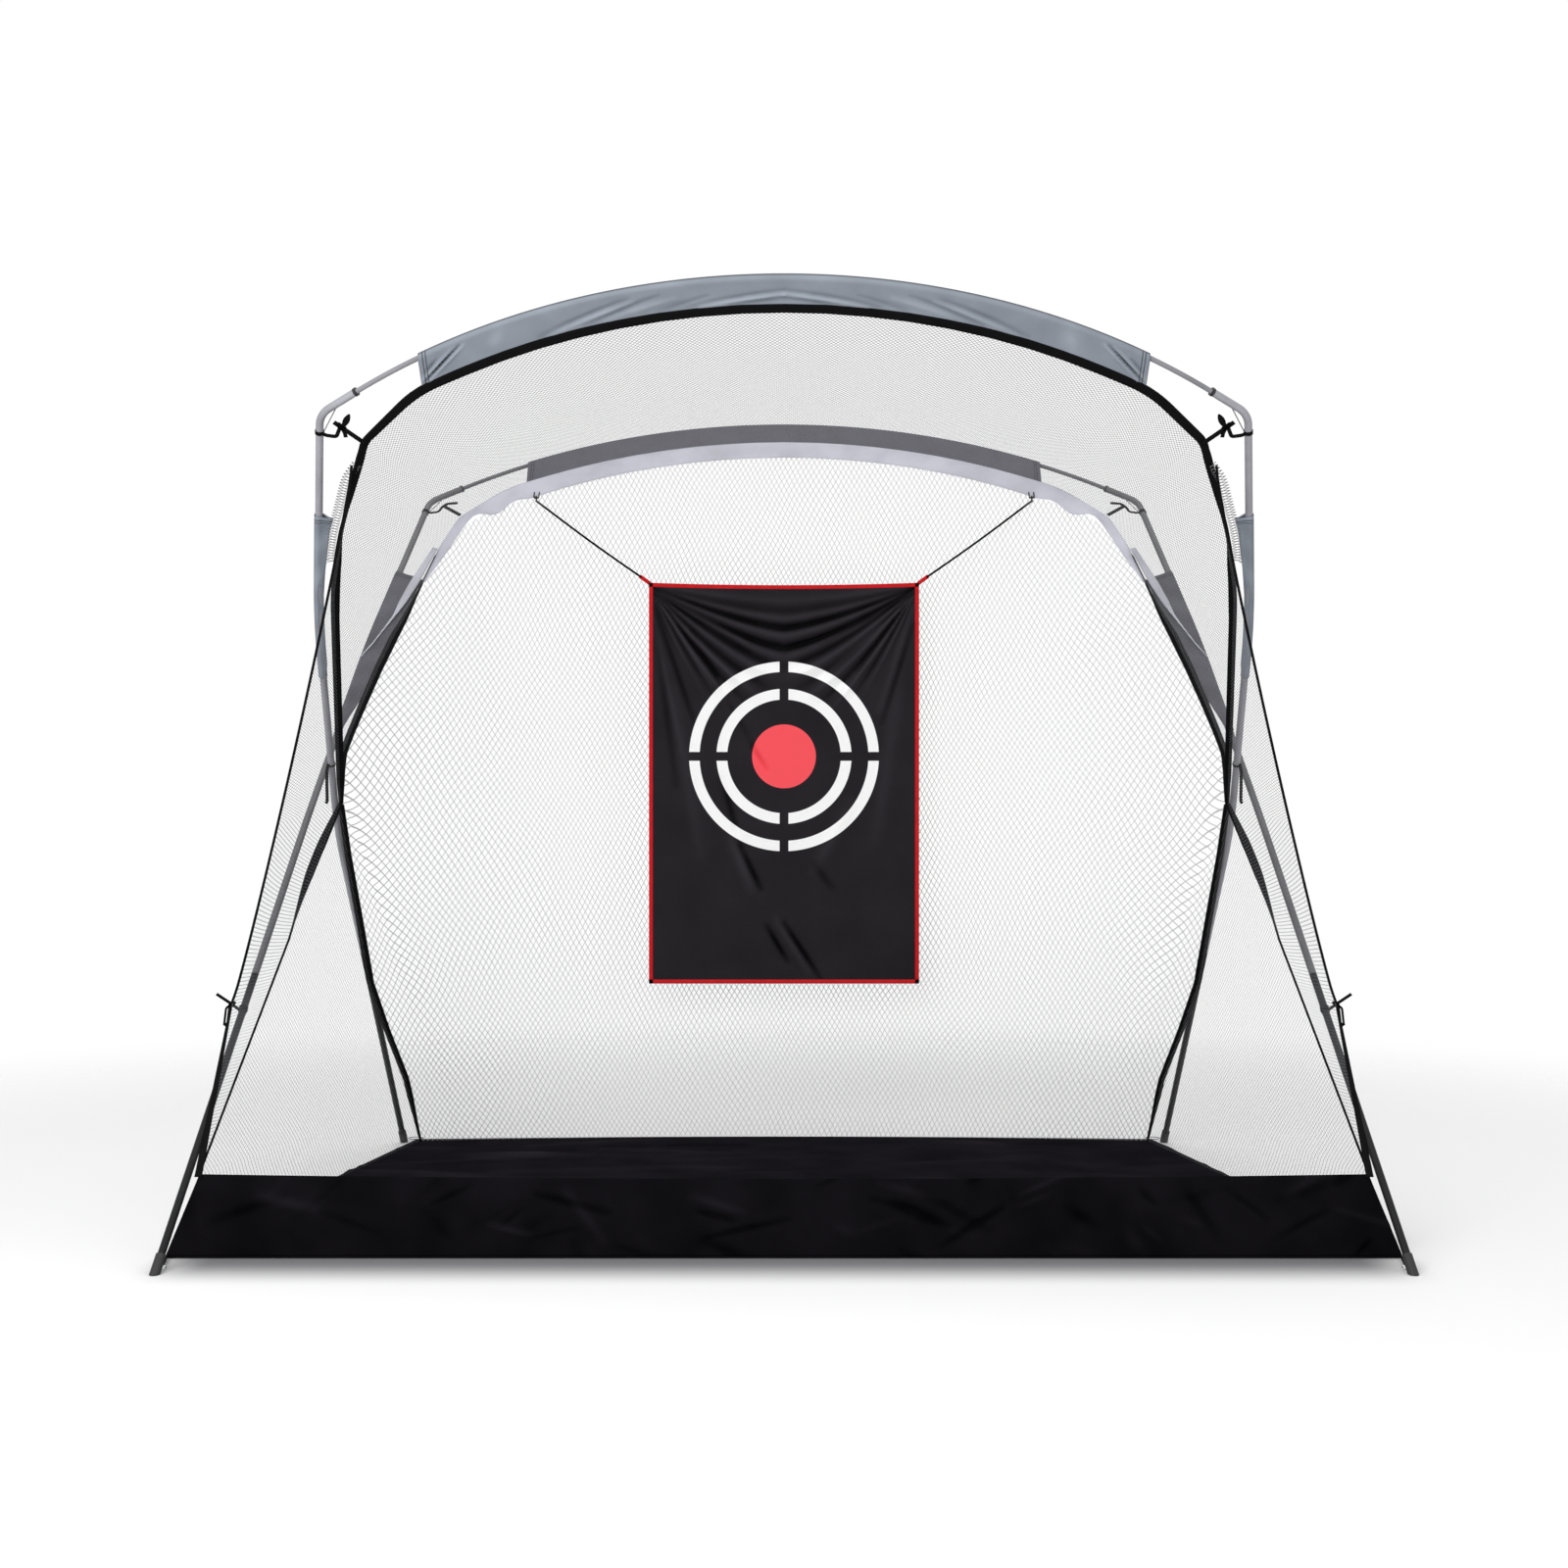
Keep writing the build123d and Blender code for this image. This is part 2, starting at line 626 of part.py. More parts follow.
# Tie from each front leg to the wing's edge tape
tie_at = leg_at(rear_leg, tie_point[1])
leg_tie = leg_wrap(rear_leg, tie_point[1])
tail_start = Vector(tie_at[0] + tube_r + gap + tie_t / 2, tie_at[1], 0)
tail_u = tie_point[0] + net_t / 2 + gap + tail_r + tail_clear
tail_end = Vector(tail_u, tie_point[1], tie_stand_off - tail_drop)
leg_tie += rod_between(tail_start, tail_end, tail_r)
save("leg_ties", *both_sides(rear_plane * leg_tie))

# Webbing loops from the floor's corners to the stake rings
def corner_loop(eye, end):
    run = Vector(end.X - eye.X, end.Y - eye.Y, 0)
    heading = run.normalized()
    near = eye + heading * ring_r
    frame = Plane(near, x_dir=(heading.X, heading.Y, 0), z_dir=(heading.Y, -heading.X, 0))
    length = run.length - ring_r
    outline = SlotCenterToCenter(length, 2 * (loop_in + loop_t))
    outline -= SlotCenterToCenter(length, 2 * loop_in)
    return extrude(frame * (Pos(length / 2, 0) * outline), loop_width / 2, both=True)


front_eye = hoops["rear_hoop"][2]
rear_eye = hoops["front_hoop"][2]
stop_face = wall_y - net_t / 2 - gap - loop_in - loop_t - loop_clear
front_loop = corner_loop(front_eye, Vector(floor_front_u - loop_inset, stop_face, 0))
rear_loop = corner_loop(rear_eye, Vector(floor_rear[0] - rear_loop_inset, rear_eye.Y, 0))
save("corner_loops", *both_sides(front_loop), *both_sides(rear_loop))

# Hanger loops sewn to the border, that the target's hooks hold
hang_u = border_radius * math.sin(math.radians(border_pitch)) - hang_inset
hang_s = arch_centre + math.sqrt(border_radius ** 2 - hang_u ** 2)
bar_s = hang_s - hanger_drop
hanger_points = [(hang_u - hanger_half, hang_s + hanger_sewn), (hang_u - hanger_half, bar_s)]
hanger_points += [(hang_u + hanger_half, bar_s), (hang_u + hanger_half, hang_s + hanger_sewn)]
hanger_lift = band_t / 2 + gap + hanger_r
hanger = Pos(0, 0, hanger_lift) * pipe(path_of(hanger_points, [hanger_bend, hanger_bend]), hanger_r)
save("hanger_loops", *both_sides(rear_plane * hanger))
bar = at_rear((hang_u, bar_s), hanger_lift)
print("target swing axis", bar)

# Target: cloth in a bound frame, hung by two corner loops, cords and hooks
top_z = bar.Z - target_drop
mid_z = top_z - target_height / 2
frame_box = Box(target_width, binding_t, target_height)
hole_w = target_width - 2 * target_binding
hole_h = target_height - 2 * target_binding
save("target_binding", Pos(0, bar.Y, mid_z) * (frame_box - Box(hole_w, 2 * binding_t, hole_h)))
save("target_cloth", Pos(0, bar.Y, mid_z) * Box(hole_w - gap, cloth_t, hole_h - gap))

neck = Vector(bar.X, bar.Y, bar.Z - neck_drop)
corner = Vector(target_width / 2, bar.Y, top_z)
pull = (neck - corner).normalized()
tab_plane = Plane(corner + pull * gap, x_dir=(0, 1, 0), z_dir=(pull.X, pull.Y, pull.Z))
tab = extrude(tab_plane * Rectangle(binding_t, target_binding), tab_length)
save("target_corner_loops", *both_sides(tab))

cord_low = corner + pull * (tab_length + 2 * gap)
cord_top = neck - pull * (hook_length - cord_seat)
save_pair("target_cord", rod_between(cord_low, cord_top, cord_r))

hook_in = hanger_r + gap
hook_out = hook_in + hook_wall
ring_plane = Plane(bar, x_dir=(0, 1, 0), z_dir=(1, 0, 0))
hook = extrude(ring_plane * (Circle(hook_out) - Circle(hook_in)), hook_width / 2, both=True)
mouth_box = Pos(hook_out, 0, 0) * Box(2 * hook_out, 2 * hanger_r + hook_mouth_fit, 2 * hook_width)
hook -= ring_plane * (Rot(0, 0, hook_mouth_angle) * mouth_box)
hook += rod_between(Vector(bar.X, bar.Y, bar.Z - hook_in - hook_wall / 2), neck, neck_r)
hook += Pos(*neck) * Sphere(shaft_r)
hook += rod_between(neck, neck - pull * hook_length, shaft_r)
hook -= rod_between(cord_top + pull * gap, neck - pull * (hook_length + gap), cord_r + gap / 2)
save_pair("target_hook", hook)
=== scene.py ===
# %% [markdown]
# A golf practice net shaped like a small tent: two leaning hoops cross at the sides and carry
# a roof net, side nets, front wings and a back net, with a black floor, a ball stop and a target.
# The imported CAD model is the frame. Its poles, feet, rings and hooks keep their shapes and get
# finishes here, and each net, sleeve, tape and sheet is sewn anew and stands for its CAD solid.

# %% Load the frame
import math
import random

import bpy
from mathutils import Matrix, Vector


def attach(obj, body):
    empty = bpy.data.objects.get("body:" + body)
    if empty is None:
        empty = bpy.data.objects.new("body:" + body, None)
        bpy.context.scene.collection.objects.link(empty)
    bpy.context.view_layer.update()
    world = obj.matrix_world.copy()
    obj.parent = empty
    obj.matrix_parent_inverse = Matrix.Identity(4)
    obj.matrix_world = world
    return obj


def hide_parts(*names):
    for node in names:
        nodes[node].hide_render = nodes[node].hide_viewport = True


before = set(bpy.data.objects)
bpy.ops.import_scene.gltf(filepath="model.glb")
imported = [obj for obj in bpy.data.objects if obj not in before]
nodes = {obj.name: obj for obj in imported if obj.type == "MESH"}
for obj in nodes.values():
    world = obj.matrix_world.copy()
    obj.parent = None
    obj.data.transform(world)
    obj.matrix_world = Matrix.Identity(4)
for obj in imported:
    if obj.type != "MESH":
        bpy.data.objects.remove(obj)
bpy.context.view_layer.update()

# %% [markdown]
# The photograph was taken level, from the front and a little under half the height. A camera could
# be placed by eye. Here the lens and the distance were worked out from the two hoops, which are
# alike, so that a render can be laid over the photograph.

# %% Camera
photo_width, focal_length = 1600, 2279  # in pixels
sensor_width = 36
bpy.ops.object.select_all(action="DESELECT")
bpy.ops.object.camera_add(location=(0, -6.405, 1.186), rotation=(math.pi / 2, 0, 0))
camera = bpy.context.object
camera.data.sensor_width = sensor_width
camera.data.lens = sensor_width * focal_length / photo_width
bpy.context.scene.camera = camera
print("camera lens in mm:", round(camera.data.lens, 2))

# %% [markdown]
# Each hoop lies in a plane of its own. The front hoop stands on the rear feet and leans forward,
# the rear hoop stands on the front feet and leans back. A place on a hoop is easiest to give as
# u across, s up the slope and n out of the plane towards the front, so two small helpers turn
# that into metres in the shared frame. The arch of each hoop is drawn round a hub on its middle line.

# %% The two leaning planes
half_depth = 1.0
tilt = math.radians(41.52)
lean, climb = math.sin(tilt), math.cos(tilt)
hub_s, arch_r = 1.250, 1.936


def on_front(u, s, n=0.0):
    return Vector((u, half_depth - lean * s - climb * n, climb * s - lean * n))


def on_rear(u, s, n=0.0):
    return Vector((u, -half_depth + lean * s - climb * n, climb * s + lean * n))


front_normal = on_front(0, 0, 1) - on_front(0, 0)
rear_normal = on_rear(0, 0, 1) - on_rear(0, 0)
print("top of the front hoop:", on_front(0, hub_s + arch_r))

# %% [markdown]
# Sewn edges run straight, then round a corner, then straight again. One helper rounds the corners
# of a line of points and another spaces points evenly along it, as a sewer marks a hem.

# %% Lines with rounded corners
def evenly(line, count):
    reach = [0.0]
    for a, b in zip(line, line[1:]):
        reach.append(reach[-1] + (b - a).length)
    spaced, i = [], 0
    for k in range(count + 1):
        want = reach[-1] * k / count
        while i < len(line) - 2 and reach[i + 1] < want:
            i += 1
        part = (want - reach[i]) / max(reach[i + 1] - reach[i], 1e-9)
        spaced.append(line[i].lerp(line[i + 1], min(part, 1.0)))
    return spaced


def rounded(points, radii, count, arc_steps=8):
    points = [Vector(p) for p in points]
    line = [points[0]]
    for a, b, c, radius in zip(points, points[1:], points[2:], radii):
        one, two = (a - b).normalized(), (c - b).normalized()
        half = (math.pi - one.angle(two)) / 2
        middle = b + (one + two).normalized() * (radius / math.cos(half))
        outward, onward = (b - middle).normalized(), (two - one).normalized()
        for k in range(-arc_steps, arc_steps + 1):
            angle = half * k / arc_steps
            line.append(middle + (outward * math.cos(angle) + onward * math.sin(angle)) * radius)
    return evenly(line + [points[-1]], count)


def run_length(line):
    return sum((b - a).length for a, b in zip(line, line[1:]))


trial = rounded([(0, 0), (1, 0), (1, 1)], [0.2], 40)
print("a trial corner, a metre each way, measures", round(run_length(trial), 3), "m")

# %% [markdown]
# The edge of the net is the same line in both hoops: over the arch, round the shoulder and down
# to where the hoops cross at the sides. In the rear hoop it is drawn out a little above the crossing.
# Below the crossing it follows the pole and then runs to the floor's rear corner in the front hoop's
# plane, and to the ball stop's top corner in the rear hoop's plane. A curve could be drawn by hand,
# but a few corners with a radius each are easier to move.

# %% The net's edge
edge_steps = 240
net_r = arch_r - 0.080
shoulder_u, shoulder_slope = 0.905, math.radians(25)
apex = (0, hub_s + net_r / math.cos(shoulder_slope))
shoulder = (shoulder_u, apex[1] - shoulder_u * math.tan(shoulder_slope))
tied_corner = (1.050, 2.731)
flank = (1.1505, 2.444)
waist = (1.190, 2.250)
crossing = (1.270, half_depth / lean)
stop_corner = (1.463, 0.280)


def whole_run(half, half_radii, top_radius, count):
    mirrored = [(-u, s) for u, s in half[:0:-1]]
    return rounded(mirrored + half, half_radii[::-1] + [top_radius] + half_radii, count)


edge_corners = [apex, shoulder, tied_corner, flank, waist, crossing]
edge_line = whole_run(edge_corners, [0.35, 0.06, 0.6, 2.2], net_r, edge_steps)
edge_length = run_length(edge_line)
print("net edge over the arch in m:", round(edge_length, 3))

# %% [markdown]
# The rear hoop's own side line and the lower edges leave that line by a few centimetres. Each is a
# short list of places, u and s, or u, s and n, from one end to the other.

# %% The rear and lower edges
def along(points, s):
    for a, b in zip(points, points[1:]):
        if a[1] <= s <= b[1]:
            return a[0] + (b[0] - a[0]) * (s - a[1]) / (b[1] - a[1])
    return points[-1][0]


rear_side = [
    (1.270, 1.508), (1.284, 1.62), (1.289, 1.70), (1.277, 1.782), (1.257, 1.894), (1.227, 2.048),
    (1.195, 2.187), (1.169, 2.277), (1.1377, 2.41), (1.118, 2.50), (1.0959, 2.60),
]
rear_side_top = rear_side[-1][1]
rear_line = []
for u, s in edge_line:
    rear_u = math.copysign(along(rear_side, s), u) if s < rear_side_top else u
    rear_line.append(Vector((rear_u, s)))
low_edge = [
    (1.270, 1.5086, 0.002), (1.273, 1.32, 0.011), (1.273, 1.10, 0.0125), (1.274, 0.78, 0.0125),
    (1.2477, 0.5528, 0.010), (1.2165, 0.3193, 0.002), (1.204, 0.006, 0.001),
]
print("rear edge in m:", round(run_length(rear_line), 3))

# %% [markdown]
# A sheet of cloth starts as a flat grid, the cut, and each of its points is laid where it hangs.
# The grid's UV map keeps the flat cut in metres, so a weave or a net drawn on it has its real
# scale and follows the cloth. A crease value may be kept at each point, for a finish to read.
# A tape is a narrow sheet along a line.

# %% Lay a sheet, lay a tape
def lay_sheet(name, columns, rows, place, cut, thick=0.0, crease=None):
    bpy.ops.object.select_all(action="DESELECT")
    bpy.ops.mesh.primitive_grid_add(x_subdivisions=columns, y_subdivisions=rows, size=1)
    piece = bpy.context.object
    piece.name = piece.data.name = name
    spots = [(v.co.x + 0.5, v.co.y + 0.5) for v in piece.data.vertices]
    for vertex, spot in zip(piece.data.vertices, spots):
        vertex.co = place(*spot)
    for loop, mark in zip(piece.data.loops, piece.data.uv_layers.active.data):
        mark.uv = cut(*spots[loop.vertex_index])
    if crease:
        kept = piece.data.attributes.new("crease", "FLOAT", "POINT")
        for i, spot in enumerate(spots):
            kept.data[i].value = min(max(crease(*spot), 0.0), 1.0)
    if thick:
        bpy.ops.object.modifier_add(type="SOLIDIFY")
        piece.modifiers["Solidify"].thickness = thick
        piece.modifiers["Solidify"].offset = 0
        bpy.ops.object.modifier_apply(modifier="Solidify")
    bpy.ops.object.shade_smooth()
    return piece


def lay_tape(name, line, across, width, thick=0.0012, columns=4):
    rows = len(line) - 1
    length = run_length(line)
    wide = width if callable(width) else lambda y: width

    def place(x, y):
        i = round(y * rows)
        return line[i] + across[i] * (wide(y) * (x - 0.5))

    return lay_sheet(name, columns, rows, place, lambda x, y: (x * wide(y), y * length), thick)


def sideways(line, normal):
    turned = []
    for i in range(len(line)):
        run = line[min(i + 1, len(line) - 1)] - line[max(i - 1, 0)]
        turned.append(run.cross(normal).normalized())
    return turned


def join(name, pieces):
    bpy.ops.object.select_all(action="DESELECT")
    for piece in pieces:
        piece.select_set(True)
    bpy.context.view_layer.objects.active = pieces[0]
    bpy.ops.object.join()
    pieces[0].name = pieces[0].data.name = name
    return pieces[0]


hands = {-1: "left", 1: "right"}


def mirror(point, side):
    return Vector((side * point.x, point.y, point.z))


print("sides to sew:", ", ".join(hands.values()))

# %% [markdown]
# Each finished piece gets its material and the body that carries it, and the CAD nodes that it
# stands for are hidden. All pieces ride on the frame, apart from the target's own, which swing.

# %% Dress a piece
def dress(piece, material, slot, *stands_for, body="frame"):
    piece.data.materials.append(material)
    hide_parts(*stands_for)
    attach(piece, body)
    return piece


print("nodes to dress:", len(nodes))

# %% [markdown]
# Cloth that hangs or lies has folds. A fold is a soft ridge along a line of the cut, and a sum of
# such ridges is added to the sheet's height. A cloth simulation would give its own folds. Here those
# that the photograph shows are listed, and the floor's small creases come from a seeded draw,
# so that each run gives the same cloth.

# %% Folds
def fold_height(p, q, folds):
    total = 0.0
    for p0, q0, p1, q1, height, width in folds:
        run_p, run_q = p1 - p0, q1 - q0
        part = ((p - p0) * run_p + (q - q0) * run_q) / max(run_p ** 2 + run_q ** 2, 1e-9)
        part = min(max(part, 0.0), 1.0)
        away = math.hypot(p - p0 - part * run_p, q - q0 - part * run_q)
        if away < 3 * width:
            swell = math.sin(math.pi * (0.15 + 0.7 * part))
            total += height * math.exp(-((away / width) ** 2)) * swell
    return total


trial_fold = (-1, 0, 1, 0, 0.010, 0.05)
print("a trial fold, 10 mm high, has at its middle", round(fold_height(0, 0, [trial_fold]), 4), "m")

# %% [markdown]
# A finish is a node tree. Its arithmetic is written as plain Python on marks, each of which wraps
# one socket, and every other node comes from one method. Nodes could be placed one by one, but an
# expression shows what is worked out.

# %% Finish and mark
class Mark:
    def __init__(self, finish, socket):
        self.finish = finish
        self.socket = socket

    def do(self, operation, *others, clamp=False):
        values = dict(enumerate((self,) + others))
        return self.finish.node("ShaderNodeMath", {"operation": operation, "use_clamp": clamp}, values)

    def __add__(self, other):
        return self.do("ADD", other)

    def __sub__(self, other):
        return self.do("SUBTRACT", other)

    def __mul__(self, other):
        return self.do("MULTIPLY", other)

    def __truediv__(self, other):
        return self.do("DIVIDE", other)

    def __rsub__(self, other):
        return self.finish.node("ShaderNodeMath", {"operation": "SUBTRACT"}, {0: other, 1: self})

    __radd__ = __add__
    __rmul__ = __mul__

    def part(self, axis):
        return self.finish.node("ShaderNodeSeparateXYZ", {}, {0: self}, axis)

    def between(self, low, high, to_low=0.0, to_high=1.0):
        values = {"Value": self, "From Min": low, "From Max": high, "To Min": to_low, "To Max": to_high}
        return self.finish.node("ShaderNodeMapRange", {"interpolation_type": "SMOOTHSTEP"}, values)


class Nodes:
    def __init__(self, tree):
        self.tree = tree

    def node(self, kind, settings, values, out=0):
        made = self.tree.nodes.new(kind)
        for key, value in settings.items():
            setattr(made, key, value)
        for key, value in values.items():
            self.feed(made.inputs[key], value)
        return Mark(self, made.outputs[out])

    def feed(self, socket, value):
        if isinstance(value, Mark):
            self.tree.links.new(value.socket, socket)
        else:
            socket.default_value = value


class Finish(Nodes):
    def __init__(self, name, **plain):
        self.material = bpy.data.materials.new(name)
        self.material.use_nodes = True
        super().__init__(self.material.node_tree)
        self.shader = self.tree.nodes["Principled BSDF"]
        for key, value in plain.items():
            self.wear(key.replace("_", " ").title().replace("Ior", "IOR"), value)

    def wear(self, socket, value):
        self.feed(self.shader.inputs[socket], value)

    def coords(self, kind):
        return self.node("ShaderNodeTexCoord", {}, {}, kind)

    def cloud(self, coords, scale, detail=3.0):
        values = {"Vector": coords, "Scale": scale, "Detail": detail}
        return self.node("ShaderNodeTexNoise", {}, values)

    def blend(self, factor, one, two):
        values = {0: factor, 6: one, 7: two}
        return self.node("ShaderNodeMix", {"data_type": "RGBA"}, values, 2)

    def crease(self):
        return self.node("ShaderNodeAttribute", {"attribute_name": "crease"}, {}, "Fac")

    def bump(self, height, distance, strength=1.0):
        values = {"Height": height, "Distance": distance, "Strength": strength}
        self.wear("Normal", self.node("ShaderNodeBump", {}, values))


def shade(colour, factor):
    return tuple(c * factor for c in colour[:3]) + (1.0,)


print("materials before the first finish:", len(bpy.data.materials))

# %% [markdown]
# Poles. The upper tubes, elbows and rods are a satin grey coat, and the lower tubes have a satin black
# one. On the rear hoop the grey is darker, as painted shade, and duller. One plain colour would do
# from afar, but a coat is never quite even, so fine grain varies the gloss and slow clouds vary the colour.

# %% Coated tube, moulded and bare metal finishes
def coated(name, colour, metallic, roughness, gloss=0.5):
    finish = Finish(name, metallic=metallic, specular_ior_level=gloss)
    place = finish.coords("Object")
    slow = finish.cloud(place, 9.0)
    grain = finish.cloud(place, 900.0, 2.0)
    finish.wear("Base Color", finish.blend(slow.between(0.3, 0.7), shade(colour, 0.88), shade(colour, 1.08)))
    finish.wear("Roughness", roughness + (grain - 0.5) * 0.25 + (slow - 0.5) * 0.15)
    finish.bump(grain, 0.0002, 0.25)
    return finish.material


grey_tube = coated("grey_tube", (0.33, 0.33, 0.36), 0.25, 0.5, 0.3)
black_tube = coated("black_tube", (0.007, 0.007, 0.008), 0.0, 0.45, 0.2)
fibreglass = coated("fibreglass_rod", (0.23, 0.23, 0.25), 0.0, 0.5, 0.3)
# The rear hoop's grey is the same coat, darker as painted shade.
shaded_rear_tube = coated("grey_tube_rear_painted_shade", (0.13, 0.13, 0.14), 0.1, 0.5, 0.3)
black_plastic = coated("black_plastic", (0.006, 0.006, 0.007), 0.0, 0.5)
foot_rubber = coated("foot_rubber", (0.016, 0.016, 0.016), 0.0, 0.7)
ferrule_steel = coated("ferrule_steel", (0.55, 0.55, 0.57), 1.0, 0.35)
ring_chrome = coated("ring_chrome", (0.75, 0.76, 0.78), 1.0, 0.15)

pole_finish = {
    "arch_rod": fibreglass,
    "_elbow_": grey_tube,
    "_upper_leg": grey_tube,
    "_middle_leg": grey_tube,
    "_lower_leg": black_tube,
    "arch_ferrules": ferrule_steel,
    "elbow_collars": black_plastic,
    "target_hook": black_plastic,
    "foot_caps": foot_rubber,
    "stake_rings": ring_chrome,
    # The rear hoop's rods, elbows and upper legs take the grey with painted shade.
    "rear_hoop_arch_rod": shaded_rear_tube,
    "rear_hoop_elbow": shaded_rear_tube,
    "rear_hoop_upper_leg": shaded_rear_tube,
    "rear_hoop_middle_leg": shaded_rear_tube,
}
for key, material in pole_finish.items():
    for name, node in nodes.items():
        if key in name:
            for spot in node.material_slots:
                spot.material = material
print("coated nodes:", sum(any(key in name for key in pole_finish) for name in nodes))

# %% [markdown]
# Cloth finishes. Plain weave is two crossed sets of fine threads on the cut's own UV map, with
# slow clouds for the wash. A photograph of cloth could be used instead, but threads drawn by sines
# stay sharp at any distance. Webbing has ribs across the tape.

# %% Weave and webbing
def weave_of(cut, thread):
    warp = (cut.part("X") * (math.tau / thread)).do("SINE")
    weft = (cut.part("Y") * (math.tau / thread)).do("SINE")
    return warp * weft * 0.5 + 0.5


def woven(name, colour, thread, roughness=0.75, gloss=0.2, cloudy=0.12):
    finish = Finish(name, specular_ior_level=gloss, roughness=roughness)
    weave = weave_of(finish.coords("UV"), thread)
    slow = finish.cloud(finish.coords("Object"), 7.0)
    tone = weave * 0.12 + slow.between(0.3, 0.7) * 0.88
    finish.wear("Base Color", finish.blend(tone, shade(colour, 1 - cloudy), shade(colour, 1 + cloudy)))
    finish.bump(weave, 0.0003, 0.35)
    return finish.material


def webbing(name, colour, rib=0.002, gloss=0.06):
    finish = Finish(name, roughness=0.8, specular_ior_level=gloss)
    cut = finish.coords("UV")
    ribs = (cut.part("Y") * (math.tau / rib)).do("SINE") * 0.5 + 0.5
    slow = finish.cloud(finish.coords("Object"), 40.0)
    finish.wear("Base Color", finish.blend(ribs * 0.5 + slow * 0.5, shade(colour, 0.6), shade(colour, 1.4)))
    finish.bump(ribs, 0.0004, 0.4)
    return finish.material


border_cloth = woven("border_fabric", (0.52, 0.52, 0.585), 0.0016)
black_tape = webbing("black_tape", (0.0035, 0.0035, 0.004))
red_tape = webbing("red_tape", (0.56, 0.010, 0.014), 0.002, 0.15)
black_cord = webbing("black_cord", (0.002, 0.002, 0.002), 0.004, 0.0)
grey_elastic = webbing("grey_elastic", (0.25, 0.25, 0.27), 0.003, 0.2)
webbings = (black_tape, red_tape, black_cord, grey_elastic)
print("weave and webbing:", border_cloth.name, [tape.name for tape in webbings])

# %% [markdown]
# Sleeve cloth is plain weave with a dark line of painted shade along the ridge over the pole, and
# two rows of stitches at its ends. Folds are geometry, and the crease value kept at each point also
# paints shade in their valleys and highlight on their ridges, because soft light alone hardly shows
# them. The floor's and the ball stop's coated cloth reads the same value, with painted shade in a
# valley and a painted highlight along a ridge.

# %% Creased cloths
stitch_rows = (0.012, 0.020)


def sewn_sleeve(name, colour, width, thread=0.0016):
    finish = Finish(name, specular_ior_level=0.2, roughness=0.75)
    cut = finish.coords("UV")
    weave = weave_of(cut, thread)
    slow = finish.cloud(finish.coords("Object"), 11.0)
    # The crease value paints shade in the folds' valleys and highlight on their ridges.
    tone = finish.crease() + (slow - 0.5) * 0.25 + (weave - 0.5) * 0.03
    cloth = finish.blend(tone, shade(colour, 0.10), shade(colour, 1.80))
    # A dark band along the middle of the cut, over the pole, is painted shade; the stitch rows at the ends
    # are real.
    pole_shade_and_stitches = (cut.part("X") - width / 2).do("ABSOLUTE").between(0.002, 0.009, 0.75, 0.0)
    for row in stitch_rows:
        stitches = (cut.part("Y") - row).do("ABSOLUTE").between(0.0008, 0.0022, 0.8, 0.0)
        pole_shade_and_stitches = pole_shade_and_stitches.do("MAXIMUM", stitches)
    finish.wear("Base Color", finish.blend(pole_shade_and_stitches, cloth, shade(colour, 0.16)))
    finish.bump(weave * 0.3 + pole_shade_and_stitches, 0.0006, 0.4)
    return finish.material


def creased(name, low, high, thread=0.002):
    finish = Finish(name, specular_ior_level=0.0, roughness=0.6)
    weave = weave_of(finish.coords("UV"), thread)
    slow = finish.cloud(finish.coords("Object"), 5.0)
    # The crease value paints shade in the valleys and a highlight along the ridges; the slow clouds are a
    # random tone.
    tone = finish.crease() * 0.8 + slow.between(0.3, 0.7) * 0.2
    finish.wear("Base Color", finish.blend(tone, (*low, 1), (*high, 1)))
    finish.bump(weave, 0.0003, 0.35)
    return finish.material


sleeve_width = 0.17
front_sleeve_cloth = sewn_sleeve("sleeve_fabric", (0.24, 0.267, 0.308), sleeve_width)
# The rear sleeves are the front sleeves' cloth, darker as painted shade.
shaded_rear_sleeve_cloth = sewn_sleeve("sleeve_fabric_rear_painted_shade", (0.105, 0.105, 0.122), sleeve_width)
# Each coated cloth spans from its painted shade in the valleys to its painted highlight on the ridges.
floor_cloth = creased("floor_fabric", (0.0020, 0.0018, 0.0024), (0.024, 0.022, 0.028))
# The ball stop's copy of the floor cloth is darker overall, as painted shade.
stop_cloth = creased("ball_stop_fabric", (0.0008, 0.0008, 0.0011), (0.015, 0.0135, 0.017))
print("creased cloths:", front_sleeve_cloth.name, shaded_rear_sleeve_cloth.name, floor_cloth.name, stop_cloth.name)

# %% [markdown]
# Netting is drawn, not modelled: crossing strands of thin twine on the flat cut, with the openings
# see-through, because the strands of a modelled net would take millions of faces. The twine wanders
# a little, as a slack net never hangs square. The back net also has a thin grey film near the floor,
# which is painted shade.

# %% Netting finishes
def netting(name, colour, wide, high, twine, wander, drift=3.0, shade_film=0.0):
    finish = Finish(name, base_color=shade(colour, 1), roughness=0.8, specular_ior_level=0.1)
    cut = finish.coords("UV")
    warp = finish.cloud(cut, drift, 1.0)
    p = cut.part("X") / wide + (warp - 0.5) * wander
    q = cut.part("Y") / high + (finish.cloud(cut, drift * 0.7, 1.0) - 0.5) * wander
    one = (p + q).do("PINGPONG", 0.5)
    two = (p - q).do("PINGPONG", 0.5)
    near = one.do("MINIMUM", two)
    strands = near.between(twine * 0.6, twine * 1.4, 1.0, 0.0)
    # A thin grey film low on the net is painted shade.
    if shade_film:
        low_shade = finish.coords("Object").part("Z").between(0.25, 1.1, shade_film, 0.0)
        strands = strands.do("MAXIMUM", low_shade)
    finish.wear("Alpha", strands)
    return finish.material


